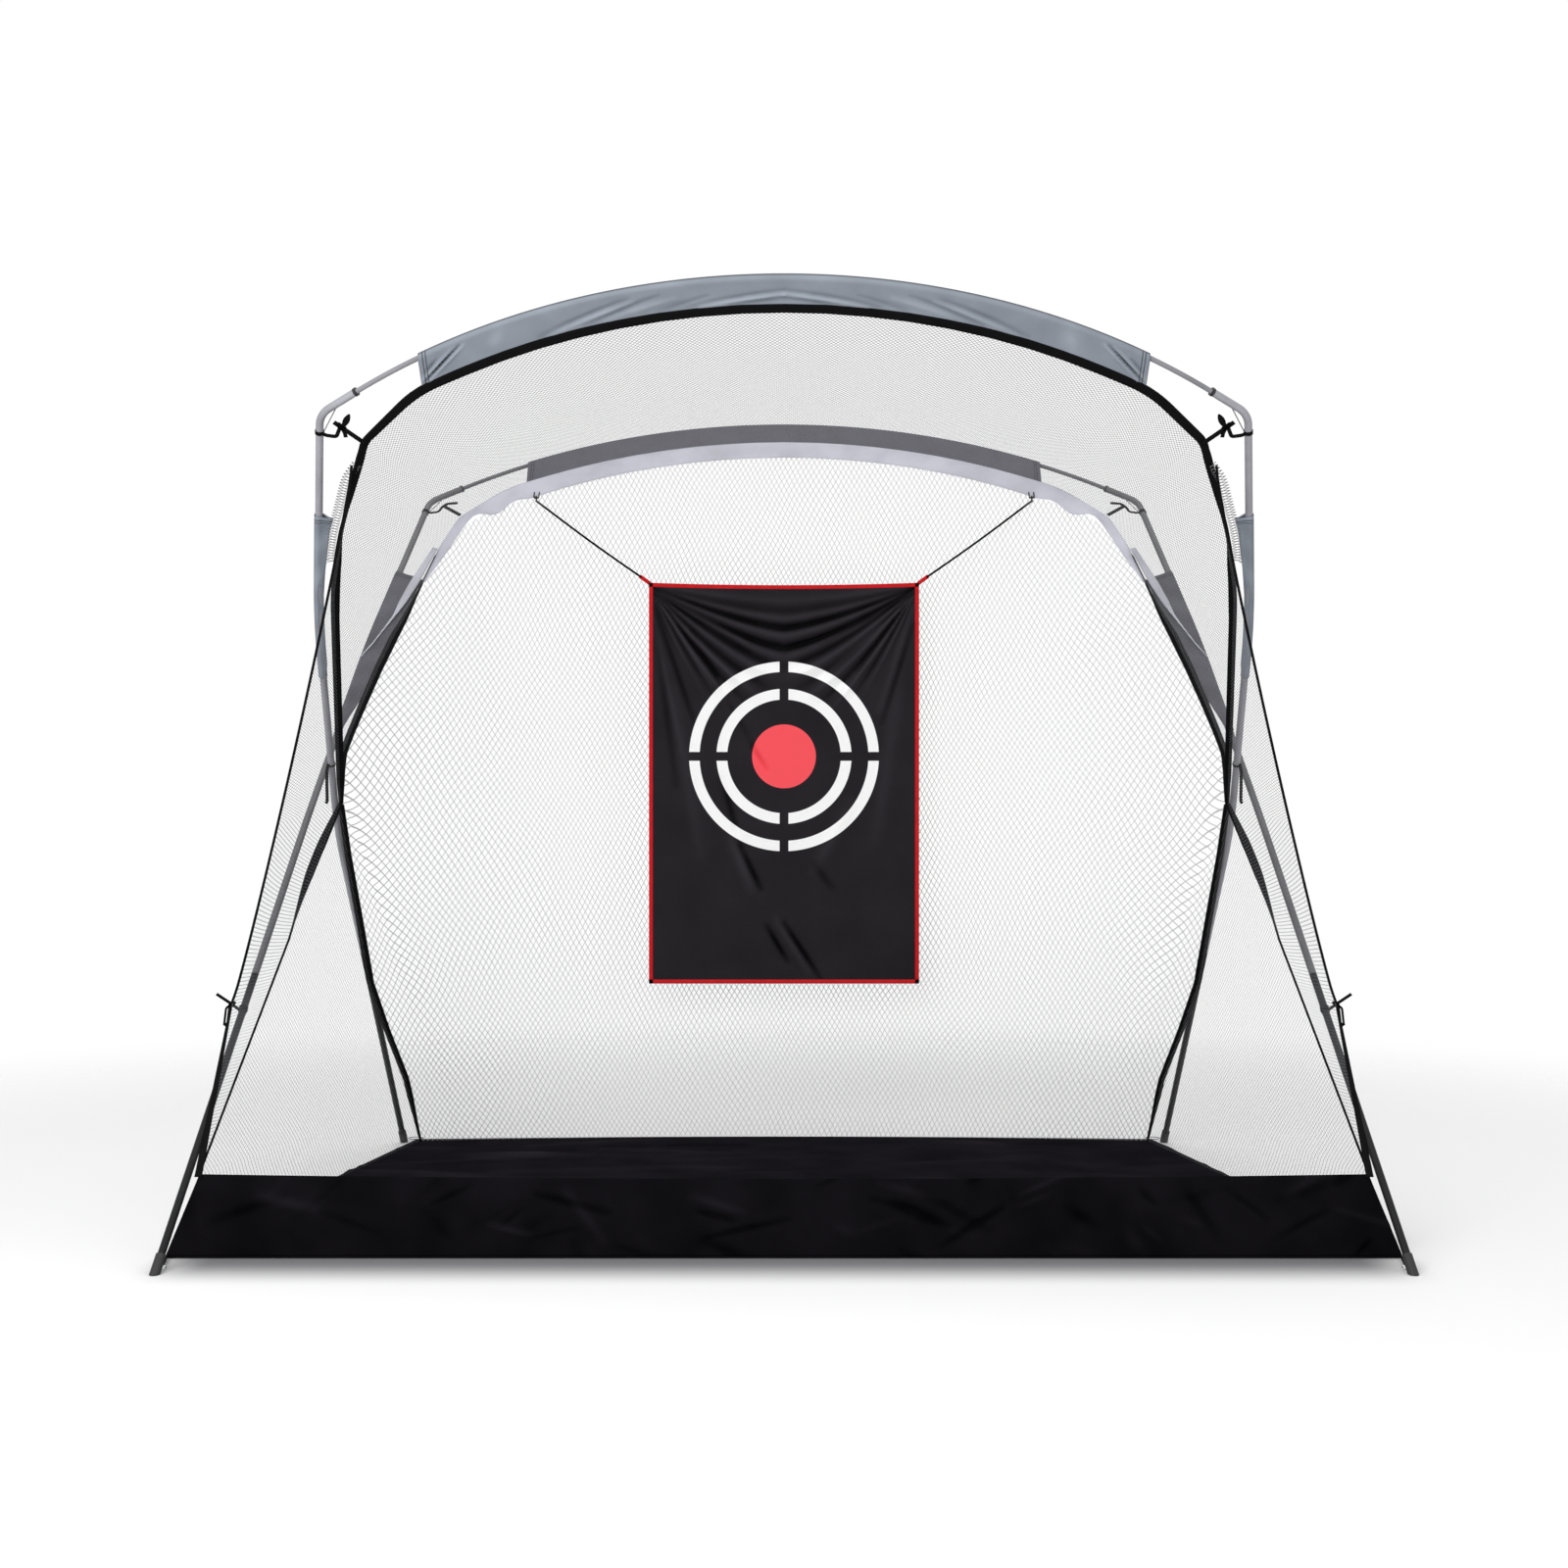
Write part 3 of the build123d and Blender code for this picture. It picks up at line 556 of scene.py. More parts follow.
roof_mesh = netting("fine_mesh_roof", (0.20, 0.20, 0.21), 0.012, 0.030, 0.078, 0.6)
side_mesh = netting("fine_mesh", (0.20, 0.20, 0.21), 0.020, 0.014, 0.050, 0.6)
wing_mesh = netting("fine_mesh_wing", (0.15, 0.15, 0.16), 0.030, 0.009, 0.064, 0.6)
# The back net's last number is the strength of its painted shade near the floor.
pale_net = netting("white_net", (0.60, 0.60, 0.61), 0.017, 0.030, 0.06, 4.0, 2.2, 0.10)
print("nets:", roof_mesh.name, side_mesh.name, wing_mesh.name, pale_net.name)

# %% [markdown]
# The roof net runs from the front hoop's edge straight back to the rear hoop's edge, and sags a
# little between them. It is one sheet, cut to the length of the edge. A cloth simulation could find
# the sag, but the net is drawn tight, so a shallow sine serves and gives the same net each run.

# %% Roof net
roof_s, roof_half, roof_sag, roof_lap = 3.1, 1.15, 0.03, 0.002
roof_depth = (on_rear(0, roof_s) - on_front(0, roof_s)).length


def roof_place(x, y):
    i = round(x * edge_steps)
    spot = on_front(*edge_line[i], -roof_lap).lerp(on_rear(*rear_line[i], roof_lap), y)
    level = max(0.0, 1 - abs(edge_line[i].x) / roof_half)
    spot.z -= roof_sag * level * math.sin(math.pi * y)
    return spot


def roof_cut(x, y):
    return (x * edge_length, roof_place(x, y).y)


roof = lay_sheet("roof_net", edge_steps, 20, roof_place, roof_cut)
dress(roof, roof_mesh, "fine_mesh", "canopy_net")
print("roof net:", round(edge_length, 2), "by", round(roof_depth, 2), "m")

# %% [markdown]
# Side nets close the triangle between the crossing and the floor. One could be cut from a flat
# triangle and pulled into place, but its two long edges bend in different planes. So a side net is
# laid between its front and its rear edge, point by point, which keeps both edges exact.

# %% Side nets
side_rows = 40
stop_foot = Vector((1.549, -0.813, 0.0026))


def between_lines(one, two):
    count = len(one) - 1
    return lambda x, y: one[round(y * count)].lerp(two[round(y * count)], x)


def chain(points, side, count):
    return evenly([mirror(p, side) for p in points], count)


side_front = [on_rear(*crossing), on_rear(*stop_corner), stop_foot]
side_rear = [on_front(*p) for p in low_edge]
for side, hand in hands.items():
    side_place = between_lines(chain(side_front, side, side_rows), chain(side_rear, side, side_rows))
    side_net = lay_sheet("side_mesh_" + hand, 30, side_rows, side_place,
                         lambda x, y: (side_place(x, y).y, side_place(x, y).z))
    dress(side_net, side_mesh, "fine_mesh", "side_net_" + hand)
    print("side net laid:", hand)

# %% [markdown]
# Wings start at the front hoop's shoulder, as a narrow strip along the edge, and are drawn forward to
# the front legs, where each is tied. One sheet could hold both, but it would turn sharply where the
# strip ends. So the sail and the strip are laid apart and joined.

# %% Wings
wing_rows = 60
in_front, behind = 0.002, -0.003


def bowed(a, b, bow, power=1.0, count=40):
    line = []
    for i in range(count + 1):
        out = bow * abs(math.sin(math.pi * i / count)) ** power
        line.append(a.lerp(b, i / count) + Vector((out, 0, 0)))
    return line


wing_tie = on_rear(1.4608, 0.785, 0.026)
wing_top = on_front(1.092, 2.660, in_front)
wing_run = bowed(wing_top, wing_tie, -0.017, 0.5)
wing_inner = [wing_top, on_front(*waist, behind), on_front(*crossing, behind), on_rear(*stop_corner, behind)]
wing_outer = wing_run + [on_rear(*stop_corner, in_front)]
strip_tip, strip_low, strip_top = 2.33, 2.35, 2.68
strip_out, strip_width = 0.022, 0.026


def wing_strip(side):
    line = []
    for u, s in edge_line:
        if strip_low < s < strip_top and u * side > 0:
            swell = min((strip_top - s) / 0.06, (s - strip_tip) / 0.04, 1.0)
            line.append(on_front(u + side * strip_out * swell, s, in_front))
    return lay_tape("strip", line, sideways(line, front_normal), strip_width)


for side, hand in hands.items():
    inner, outer = chain(wing_inner, side, wing_rows), chain(wing_outer, side, wing_rows)
    gaps = [(a - b).length for a, b in zip(inner, outer)]
    length = run_length(outer)
    sail = lay_sheet("wing_mesh_" + hand, 16, wing_rows, between_lines(inner, outer),
                     lambda x, y: (x * gaps[round(y * wing_rows)], y * length))
    wing = join("wing_mesh_" + hand, [sail, wing_strip(side)])
    dress(wing, wing_mesh, "fine_mesh", "wing_net_" + hand)
    print("wing laid:", hand, round(length, 2), "m along its free edge")

# %% [markdown]
# The back net hangs from the border under the rear arch and from the rear edges at the sides, and
# reaches the floor in a shallow bow. Its cells are larger and its twine paler. It could be a flat
# sheet cut to shape, but then its edge would be ragged. So each upright line of the sheet runs from a
# point of that edge to the floor, and the outer ones all meet at the floor's corners.

# %% Back net
border_steps, back_steps = 120, 60
border_r = net_r - 0.078
border_u, border_slope = 1.030, math.radians(27)
border_apex = (0, hub_s + border_r / math.cos(border_slope))
border_shoulder = (border_u, border_apex[1] - border_u * math.tan(border_slope))
border_tip = (1.125, 2.420)
border_low = whole_run([border_apex, border_shoulder, border_tip], [0.29], border_r, border_steps)
border_top = evenly([p for p in rear_line if p[1] > 2.40], border_steps)

back_lap = 0.002
back_half = [on_rear(u, s + 0.01, -back_lap) for u, s in border_low[border_steps // 2:]]
back_half += [on_rear(u, s, -back_lap) for u, s in rear_line if u > 0 and s < 2.38]
back_half += [on_front(u, s, n - back_lap) for u, s, n in low_edge[1:]]
back_side = evenly(back_half, back_steps)
back_top = [mirror(p, -1) for p in back_side[:0:-1]] + back_side
foot_half, foot_y, foot_z, foot_bow, belly = 1.204, 1.002, 0.003, 0.086, 0.012


def back_place(x, y):
    spread = min(max((x - 0.5) / 0.34, -1.0), 1.0)
    middle = 1 - spread ** 2
    foot = Vector((foot_half * spread, foot_y + foot_bow * middle, foot_z))
    spot = foot.lerp(back_top[round(x * 2 * back_steps)], y)
    spot.y += belly * math.sin(math.pi * y) * middle
    return spot


back = lay_sheet("back_mesh", 2 * back_steps, back_steps, back_place,
                 lambda x, y: (back_place(x, y).x, back_place(x, y).z))
dress(back, pale_net, "white_net", "back_net")
print("back net points:", len(back.data.vertices))

# %% [markdown]
# The pale border is a strip of cloth under the rear arch. Between the two hooks it is pulled
# smooth, and outside them it is slack, so its lower edge waves. Its two ends run on as a narrow hem
# across the front of the rear leg sleeves. The strip fills the gap between two lines, so it is a
# sheet, and the hem follows one line, so it is a tape.

# %% Border of the back net
def width_at(marks, value):
    for (a, wide_a), (b, wide_b) in zip(marks, marks[1:]):
        if value <= b:
            return wide_a + (wide_b - wide_a) * max(value - a, 0) / (b - a)
    return marks[-1][1]


slack_from, slack_over = 0.78, 0.12
border_lift, tail_lift = 0.003, 0.0165


def border_place(x, y):
    i = round(x * border_steps)
    u, s = border_low[i].lerp(border_top[i], y)
    slack = (1 - y) * min(max((abs(u) - slack_from) / slack_over, 0.0), 1.0)
    s += slack * 0.012 * math.sin(abs(u) * 38 + 1.0 + y)
    return on_rear(u, s, border_lift + slack * 0.010 * math.sin(abs(u) * 52))


border_length = run_length(border_top)
pieces = [lay_sheet("border_cloth", border_steps, 8, border_place,
                    lambda x, y: (x * border_length, y * 0.08), 0.001)]
tail_widths = [(0.0, 0.018), (0.33, 0.028), (0.5, 0.022), (0.62, 0.008), (0.75, 0.004), (1.0, 0.004)]
tail_corners = [(1.108, 2.57), (1.158, 2.41), (1.202, 2.267), (1.253, 2.147), (1.283, 2.087)]
tail_run = rounded(tail_corners, [0.2, 0.3, 0.3], 24)
for side in hands:
    line = [on_rear(side * u, s, tail_lift) for u, s in tail_run]
    pieces.append(lay_tape("tail", line, sideways(line, rear_normal), lambda y: width_at(tail_widths, y)))
border = join("border_cloth", pieces)
dress(border, border_cloth, "border_fabric", "back_net_border")
print("border length in m:", round(border_length, 2))

# %% [markdown]
# Pole sleeves. A sleeve is one strip of cloth that goes up the front, over the pole and down the
# back to the edge tape. The pull of the arch draws the front sleeve into slanting creases, and the
# rear one is smooth. A crease is a fold on the cut, and each half of the arch has the same ones.

# %% Arch sleeves
face_share, hem_gap = 0.35, 0.0012
arch_sleeve_r, sleeve_thick = 0.0104, 0.0006


def wrap(k, reach, radius):
    part = min(k, 1 - k) / face_share
    if part < 1:
        out = hem_gap + (radius - hem_gap) * part
        return reach * (1 - part), math.copysign(out, 0.5 - k), math.sin(math.pi * part)
    angle = (k - face_share) / (1 - 2 * face_share) * math.pi
    return -radius * math.sin(angle), radius * math.cos(angle), 0.0


half_folds = (
    (0.787, 0.010, 0.880, 0.062, -0.012, 0.0040),
    (0.799, 0.010, 0.889, 0.058, 0.006, 0.0045),
    (0.775, 0.012, 0.868, 0.064, 0.006, 0.0045),
    (0.845, 0.020, 0.876, 0.042, -0.005, 0.0040),
    (0.690, 0.010, 0.700, 0.060, 0.003, 0.0200),
    (0.590, 0.062, 0.375, 0.016, -0.004, 0.0060),
    (0.560, 0.066, 0.360, 0.028, 0.004, 0.0070),
    (0.480, 0.064, 0.300, 0.020, -0.004, 0.0060),
    (0.430, 0.066, 0.260, 0.034, 0.003, 0.0070),
    (0.300, 0.064, 0.180, 0.036, -0.003, 0.0050),
    (0.230, 0.062, 0.000, 0.030, -0.004, 0.0050),
    (0.200, 0.066, 0.000, 0.040, 0.006, 0.0060),
    (0.130, 0.066, 0.000, 0.052, -0.004, 0.0050),
)
arch_folds = []
for p0, q0, p1, q1, height, width in half_folds:
    arch_folds += [(side * p0, q0, side * p1, q1, height, width) for side in hands]


def arch_sleeve(node, on, cloth, half, reach, folds):
    length = 2 * math.asin(half / arch_r) * arch_r

    def place(x, y):
        r, n, slack = wrap(x, reach, arch_sleeve_r)
        u = half * (2 * y - 1)
        n += slack * fold_height(u, max(r, 0), folds)
        return on(u, hub_s + math.sqrt((arch_r - r) ** 2 - u * u), n)

    # The folds' heights are kept as crease values, which the sleeve finish turns into painted shade in the
    # valleys and painted highlight on the ridges.
    def crease(x, y):
        r = wrap(x, reach, arch_sleeve_r)[0]
        return 0.5 + 45 * fold_height(half * (2 * y - 1), max(r, 0), folds)

    def cut(x, y):
        return x * sleeve_width, min(y, 1 - y) * length

    piece = lay_sheet(node + "_cloth", 40, 420, place, cut, sleeve_thick, crease)
    dress(piece, cloth, "sleeve_fabric", node)
    print("arch sleeve sewn:", node, round(length, 2), "m")


arch_sleeve("front_arch_sleeve", on_front, front_sleeve_cloth, 0.89, 0.071, arch_folds)
# The rear arch sleeve takes the darker cloth with painted shade.
arch_sleeve("rear_arch_sleeve", on_rear, shaded_rear_sleeve_cloth, 0.845, 0.083, [])

# %% [markdown]
# The leg sleeves narrow towards the crossing, because the pole and the net's edge meet there. They
# could be tapered tubes, but the gap that they fill is not an even taper, so the width is worked out
# at each height. The front ones are held to a narrow width as well, which a list gives.

# %% Leg sleeves
elbow = (1.152, 2.810)
front_leg = rounded([(1.259, 0), (1.295, 1.400), (1.2443, 2.170), elbow], [2.62, 3.1], 200)
rear_leg = rounded([(1.523, 0), (1.360, 1.450), (1.2679, 2.170), elbow], [15.7, 4.6], 200)
front_points = [(u, s) for u, s in reversed(edge_line) if u > 0]
rear_points = [(u, s) for u, s in reversed(rear_line) if u > 0]
leg_sleeve_r, least_reach, tape_gap = 0.0122, 0.011, 0.008


def leg_ripple(r, s):
    return math.sin(s * 41 + r * 60) * math.sin(s * 17)


def leg_sleeve(name, on, leg, edge, low, top, wide, side):
    length = top - low

    def place(x, y):
        s = low + length * y
        pole = along(leg, s)
        taper = 0.25 + 0.75 * min((s - low) / 0.16, 1.0)
        reach = max(min((pole - along(edge, s) - tape_gap) * taper, along(wide, s)), least_reach)
        r, n, slack = wrap(x, reach, leg_sleeve_r)
        droop = 0.4 * max(r, 0) * max(y - 0.9, 0) / 0.1
        return on(side * (pole - r), s - droop, n + slack * 0.003 * leg_ripple(r, s))

    # The ripple is kept as a crease value too, for painted shade and highlight along its waves.
    def crease(x, y):
        return 0.5 + 0.09 * leg_ripple(0.05 * x, low + length * y)

    def cut(x, y):
        return x * sleeve_width, (1 - y) * length

    return lay_sheet(name, 36, 80, place, cut, sleeve_thick, crease)


narrow = [(0.013, 1.9), (0.014, 2.25), (0.018, 2.336), (0.027, 2.445), (0.036, 2.52)]
whole = [(0.2, 1.7), (0.2, 2.6)]
leg_sleeves = (
    ("front_leg_sleeve", on_front, front_leg, front_points, 1.977, 2.51, narrow, front_sleeve_cloth),
    # The rear leg sleeves take the darker cloth with painted shade.
    ("rear_leg_sleeve", on_rear, rear_leg, rear_points, 1.797, 2.47, whole, shaded_rear_sleeve_cloth),
)
for side, hand in hands.items():
    for sleeve, on, leg, edge, low, top, wide, cloth in leg_sleeves:
        node = sleeve + "_" + hand
        piece = leg_sleeve(sleeve + "_cloth_" + hand, on, leg, edge, low, top, wide, side)
        dress(piece, cloth, "sleeve_fabric", node)
        area = sum(face.area for face in piece.data.polygons) / 2
        flat = (area / (top - low) * 1.02, top - low)
        print("leg sleeve sewn:", node, "mean width in m:", round(flat[0], 3))

# %% [markdown]
# Edge tapes. Black webbing binds the front edge of the net. It lies in the hoop's plane and is drawn
# out wide along the arch. Just below the shoulder it is twisted, so that it shows its edge. A short
# list of heights and seen widths gives the tape its run, and the twist is worked out from the width.

# %% Front edge tape
tape_width = 0.024
twist_low, twist_top = 2.2, 2.7
front_widths = [(1.51, 0.014), (1.60, 0.022), (2.25, 0.023), (2.36, 0.019), (2.43, 0.010), (2.52, 0.009),
                (2.56, 0.014), (2.64, 0.020), (2.75, 0.023), (2.95, 0.025), (3.12, 0.024)]
front_line = [on_front(u, s, 0.001) for u, s in edge_line]
front_across, front_wide = [], []
for (u, s), flat in zip(edge_line, sideways(front_line, front_normal)):
    wide = width_at(front_widths, s)
    turned = math.acos(min(wide / tape_width, 1.0)) * (1 if u > 0 else -1)
    front_across.append(flat * math.cos(turned) + front_normal * math.sin(turned))
    front_wide.append(max(wide, tape_width) if twist_low < s < twist_top else wide)
front_tape = lay_tape("front_edge_tape", front_line, front_across,
                      lambda y: front_wide[round(y * edge_steps)], 0.002)
dress(front_tape, black_tape, "black_tape", "front_edge_binding")
print("front edge tape in m:", round(run_length(front_line), 2))

# %% [markdown]
# The rear edges at the sides and the lower edges have the same webbing. At the crossing the lower
# tapes start where the upper ones end, and they cover the tacks that hold them together. Tapes of
# one width would be simpler, but these turn as they run, so each has a list of seen widths too.

# %% Rear and lower edge tapes
tape_rows = 60
rear_lift = 0.004
rear_widths = [(1.51, 0.014), (1.60, 0.022), (1.90, 0.026), (2.13, 0.029), (2.20, 0.028),
               (2.27, 0.020), (2.36, 0.010), (2.46, 0.005), (2.56, 0.004)]
corner_widths = [(0.0, 0.018), (0.1, 0.020), (0.45, 0.024), (0.6, 0.021), (0.85, 0.020),
                 (0.93, 0.012), (1.0, 0.008)]
stop_widths = [(0.0, 0.014), (0.12, 0.026), (0.21, 0.025), (0.30, 0.012), (0.35, 0.006), (1.0, 0.006)]


def edge_strip(points, normal, side, width):
    line = chain(points, side, tape_rows)
    return lay_tape("tape", line, sideways(line, normal), width)


corner_run = [on_front(u, s, n + 0.001) for u, s, n in low_edge]
stop_start, stop_end = on_rear(*crossing, 0.003), on_rear(*stop_corner, 0.001)
stop_run = bowed(stop_start, stop_start.lerp(stop_end, 0.4), 0.012) + [stop_end]
bound = [(u, s) for u, s in rear_points if s <= rear_widths[-1][0]]
rear_tapes, low_tapes = [], []
for side in hands:
    line = evenly([on_rear(side * u, s, rear_lift) for u, s in bound], tape_rows)
    heights = [(p.z - lean * rear_lift) / climb for p in line]
    rear_tapes.append(lay_tape("tape", line, sideways(line, rear_normal),
                               lambda y: width_at(rear_widths, heights[round(y * tape_rows)])))
    low_tapes.append(edge_strip(corner_run, front_normal, side, lambda y: width_at(corner_widths, y)))
    low_tapes.append(edge_strip(stop_run, rear_normal, side, lambda y: width_at(stop_widths, y)))
dress(join("rear_side_tapes", rear_tapes), black_tape, "black_tape", "rear_side_bindings")
dress(join("lower_edge_tapes", low_tapes), black_tape, "black_tape", "lower_edge_bindings", "crossing_tacks")
print("edge tapes at the rear and below:", len(rear_tapes) + len(low_tapes))

# %% [markdown]
# Each wing's free edge has a narrow tape down to the front leg, and a wider strap from there to
# the ball stop's corner. A cord would look alike from the front, but tape shows its flat side from
# the golfer's place, so both are laid with one face to the front.

# %% Wing tapes
wing_face = Vector((0, -1, 0.2))
wing_tape_width, strap_end_width = 0.007, 0.019
strap_run = [wing_tie, on_rear(1.4645, 0.270, 0.002)]
for side, hand in hands.items():
    upper = edge_strip(wing_run, wing_face, side, wing_tape_width)
    lower = edge_strip(strap_run, wing_face, side,
                       lambda y: wing_tape_width + (strap_end_width - wing_tape_width) * y)
    dress(join("wing_tape_" + hand, [upper, lower]), black_tape, "black_tape", "wing_edge_tape_" + hand)
    print("wing tape sewn:", hand)

# %% [markdown]
# Tape ties. At each front elbow a tape from the net's corner is tied to the pole in a bow: a strap,
# a flat loop, a short end, a run to the pole, a knot and a band round the pole. At the rear elbows it
# is a plain slip knot. One tangled tape could be modelled, but flat tapes laid over each other look
# the same from a few steps away.

# %% Elbow ties
knot_lift = 0.004


def ring_round(middle, axis, radius, count=24):
    one = axis.orthogonal().normalized()
    two = axis.cross(one).normalized()
    spots = []
    for k in range(count + 1):
        angle = math.tau * k / count
        spots.append(middle + one * (radius * math.cos(angle)) + two * (radius * math.sin(angle)))
    return spots


def pole_band(on, leg, side, s, span, radius, width, thick):
    pole = on(side * along(leg, s), s)
    low, high = (on(side * along(leg, end), end) for end in span)
    axis = (high - low).normalized()
    band = ring_round(pole, axis, radius)
    return pole, lay_tape("tape", band, [axis] * len(band), width, thick)


def flat_tape(on, normal, side, points, width, radii=None):
    line = rounded(points, radii, 24) if radii else evenly([Vector(p) for p in points], 12)
    line = [on(side * u, s, knot_lift) for u, s in line]
    return lay_tape("tape", line, sideways(line, normal), width)


bow_runs = (
    ([(1.046, 2.7240), (1.1193, 2.7891)], 0.0125, None),
    ([(1.099, 2.774), (1.0775, 2.812)], lambda y: 0.003 + 0.0135 * math.sin(math.pi * y) ** 0.8, None),
    ([(1.101, 2.773), (1.096, 2.757), (1.0953, 2.7448)], 0.010, [0.02]),
    ([(1.1045, 2.7774), (1.1183, 2.7468), (1.144, 2.7508), (1.151, 2.7555)], 0.010, [0.008, 0.02]),
    ([(1.094, 2.768), (1.112, 2.784)], 0.015, None),
)
slip_runs = (
    ([(1.046, 2.7410), (1.1074, 2.787)], 0.012, None),
    ([(1.104, 2.785), (1.0925, 2.7965), (1.0607, 2.800)], 0.010, [0.006]),
    ([(1.106, 2.786), (1.1183, 2.7580), (1.144, 2.7508), (1.151, 2.7555)], 0.008, [0.008, 0.02]),
)
elbow_runs = ((on_front, front_normal, front_leg, bow_runs), (on_rear, rear_normal, rear_leg, slip_runs))
ties = []
for on, normal, leg, runs in elbow_runs:
    for side in hands:
        ties += [flat_tape(on, normal, side, *run) for run in runs]
        ties.append(pole_band(on, leg, side, 2.7585, (2.74, 2.77), 0.0112, 0.010, 0.001)[1])
dress(join("elbow_tie_tapes", ties), black_tape, "black_tape", "elbow_ties")
print("tapes in the elbow ties:", len(ties))

# %% [markdown]
# A thin tie at the crossing goes round the front hoop's leg and leaves one end hanging. A tie on the
# front leg holds the wing's edge: a band, a run to the wing, one end that stands out and a loop that
# hangs, each given by a few steps out and up from the knot.

# %% Crossing and leg ties
tie_face = Vector((0, 1, 0))
tie_r, tie_thick = 0.0116, 0.0012
tie_hang = ((0.0, 0.0), (0.004, 0.02), (0.004, 0.06), (0.003, 0.105), (0.007, 0.112))
ties = []
for side in hands:
    pole, band = pole_band(on_front, front_leg, side, 1.66, (1.62, 1.70), tie_r, 0.006, tie_thick)
    hang = evenly([pole + Vector((side * (0.006 + out), -0.012, -drop)) for out, drop in tie_hang], 16)
    ties += [band, lay_tape("tape", hang, sideways(hang, tie_face), 0.009)]
dress(join("crossing_tie_tapes", ties), black_tape, "black_tape", "crossing_ties")

knot_runs = (
    (0.008, ((-0.012, 0.004), (0, 0), (0.039, 0.026))),
    (0.006, ((0, 0), (0.014, -0.012), (0.019, -0.057))),
    (0.006, ((0.004, 0), (0.010, -0.050), (0.018, -0.058))),
)
ties = []
for side in hands:
    pole, band = pole_band(on_rear, rear_leg, side, 0.785, (0.7, 0.9), tie_r, 0.014, tie_thick)
    ties.append(band)
    knot = Vector((side * wing_tie.x, wing_tie.y - 0.003, wing_tie.z))
    runs = [(0.008, [pole + Vector((side * 0.011, 0, 0)), knot])]
    for width, steps in knot_runs:
        runs.append((width, [knot + Vector((side * out, 0, rise)) for out, rise in steps]))
    for width, run in runs:
        line = evenly(run, 12)
        ties.append(lay_tape("tape", line, sideways(line, tie_face), width))
dress(join("leg_tie_tapes", ties), black_tape, "black_tape", "leg_ties")
print("tapes in the leg ties:", len(ties))

# %% [markdown]
# Two small loops are sewn under the border for the target's hooks. Across each elbow runs a thin
# elastic cord, which keeps the arch rod in its seat. A cord could be a thin cylinder, but a curve with
# a round bevel can also sag, so the same helper makes the target's cords.

# %% Hanger loops and elastic cords
hanger_run = rounded([(0.799, 2.853), (0.799, 2.826), (0.815, 2.826), (0.815, 2.853)], [0.003, 0.003], 24)
loops = []
for side in hands:
    line = [on_rear(side * u, s, 0.0036) for u, s in hanger_run]
    loops.append(lay_tape("loop", line, [rear_normal] * len(line), 0.004, 0.003))
dress(join("hanger_tapes", loops), black_tape, "black_tape", "hanger_loops")


def taut_cord(name, start, end, sag, diameter):
    bpy.ops.object.select_all(action="DESELECT")
    bpy.ops.curve.primitive_nurbs_path_add()
    cord = bpy.context.object
    cord.name = cord.data.name = name
    spline = cord.data.splines[0]
    last = len(spline.points) - 1
    for i, point in enumerate(spline.points):
        spot = start.lerp(end, i / last) - Vector((0, 0, sag * math.sin(math.pi * i / last)))
        point.co = (*spot, 1)
    spline.order_u = 3
    spline.use_endpoint_u = True
    cord.data.bevel_depth = diameter / 2
    cord.data.bevel_resolution = 3
    return cord


elastic_ends, elastic_d = ((1.1058, 2.8339), (1.1571, 2.7448)), 0.003
for on, hoop in ((on_front, "front"), (on_rear, "rear")):
    for side, hand in hands.items():
        start, end = (on(side * u, s) for u, s in elastic_ends)
        cord = taut_cord(hoop + "_elbow_elastic_" + hand, start, end, 0.0, elastic_d)
        dress(cord, grey_elastic, "grey_elastic", "elbow_elastic_cords")
        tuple(start)
        (end - start).length
print("elastic cords of", round((end - start).length, 3), "m strung")

# %% [markdown]
# The floor is a loose sheet of coated cloth on the ground, creased from being packed. Bump alone
# could draw the creases, but they catch the light along their length, so they are low folds in the
# mesh, at places from a seeded draw, and stay the same from run to run.

# %% Floor
draw = random.Random(5)
floor_folds = []
for k in range(70):
    p, q = draw.uniform(-1.4, 1.4), draw.uniform(-0.75, 1.0)
    run, turn_by = draw.uniform(0.15, 0.6), draw.uniform(-0.35, 0.35)
    floor_folds.append((p, q, p + run * math.cos(turn_by), q + run * math.sin(turn_by),
                        draw.uniform(-0.004, 0.008), draw.uniform(0.015, 0.045)))

floor_front, floor_rear, floor_bow = -0.817, 1.045, 0.055
floor_half, floor_rear_half = 1.55, 1.225
floor_z, cloth_thick = 0.0012, 0.001


def floor_spot(x, y):
    side = 2 * x - 1
    rear_y = floor_rear + floor_bow * (1 - side ** 2)
    half = floor_half + (floor_rear_half - floor_half) * y
    return side * half, floor_front + (rear_y - floor_front) * y


def floor_place(x, y):
    p, q = floor_spot(x, y)
    return Vector((p, q, floor_z + max(fold_height(p, q, floor_folds), 0.0)))


# The folds' heights become painted highlight on the ridges and painted shade in the valleys.
def floor_fold_shading(x, y):
    return 0.38 + 45 * fold_height(*floor_spot(x, y), floor_folds)


floor = lay_sheet("floor_cloth", 200, 110, floor_place, floor_spot, cloth_thick, floor_fold_shading)
dress(floor, floor_cloth, "floor_fabric", "floor_sheet")
print("floor laid with", len(floor_folds), "folds")

# %% [markdown]
# The ball stop is a low wall of the same cloth, sewn along the floor's front and tied up at its two
# ends. Its top edge dips a little between them. It could be one sheet with the floor, but its folds
# are finer, so it has a finer grid of its own.

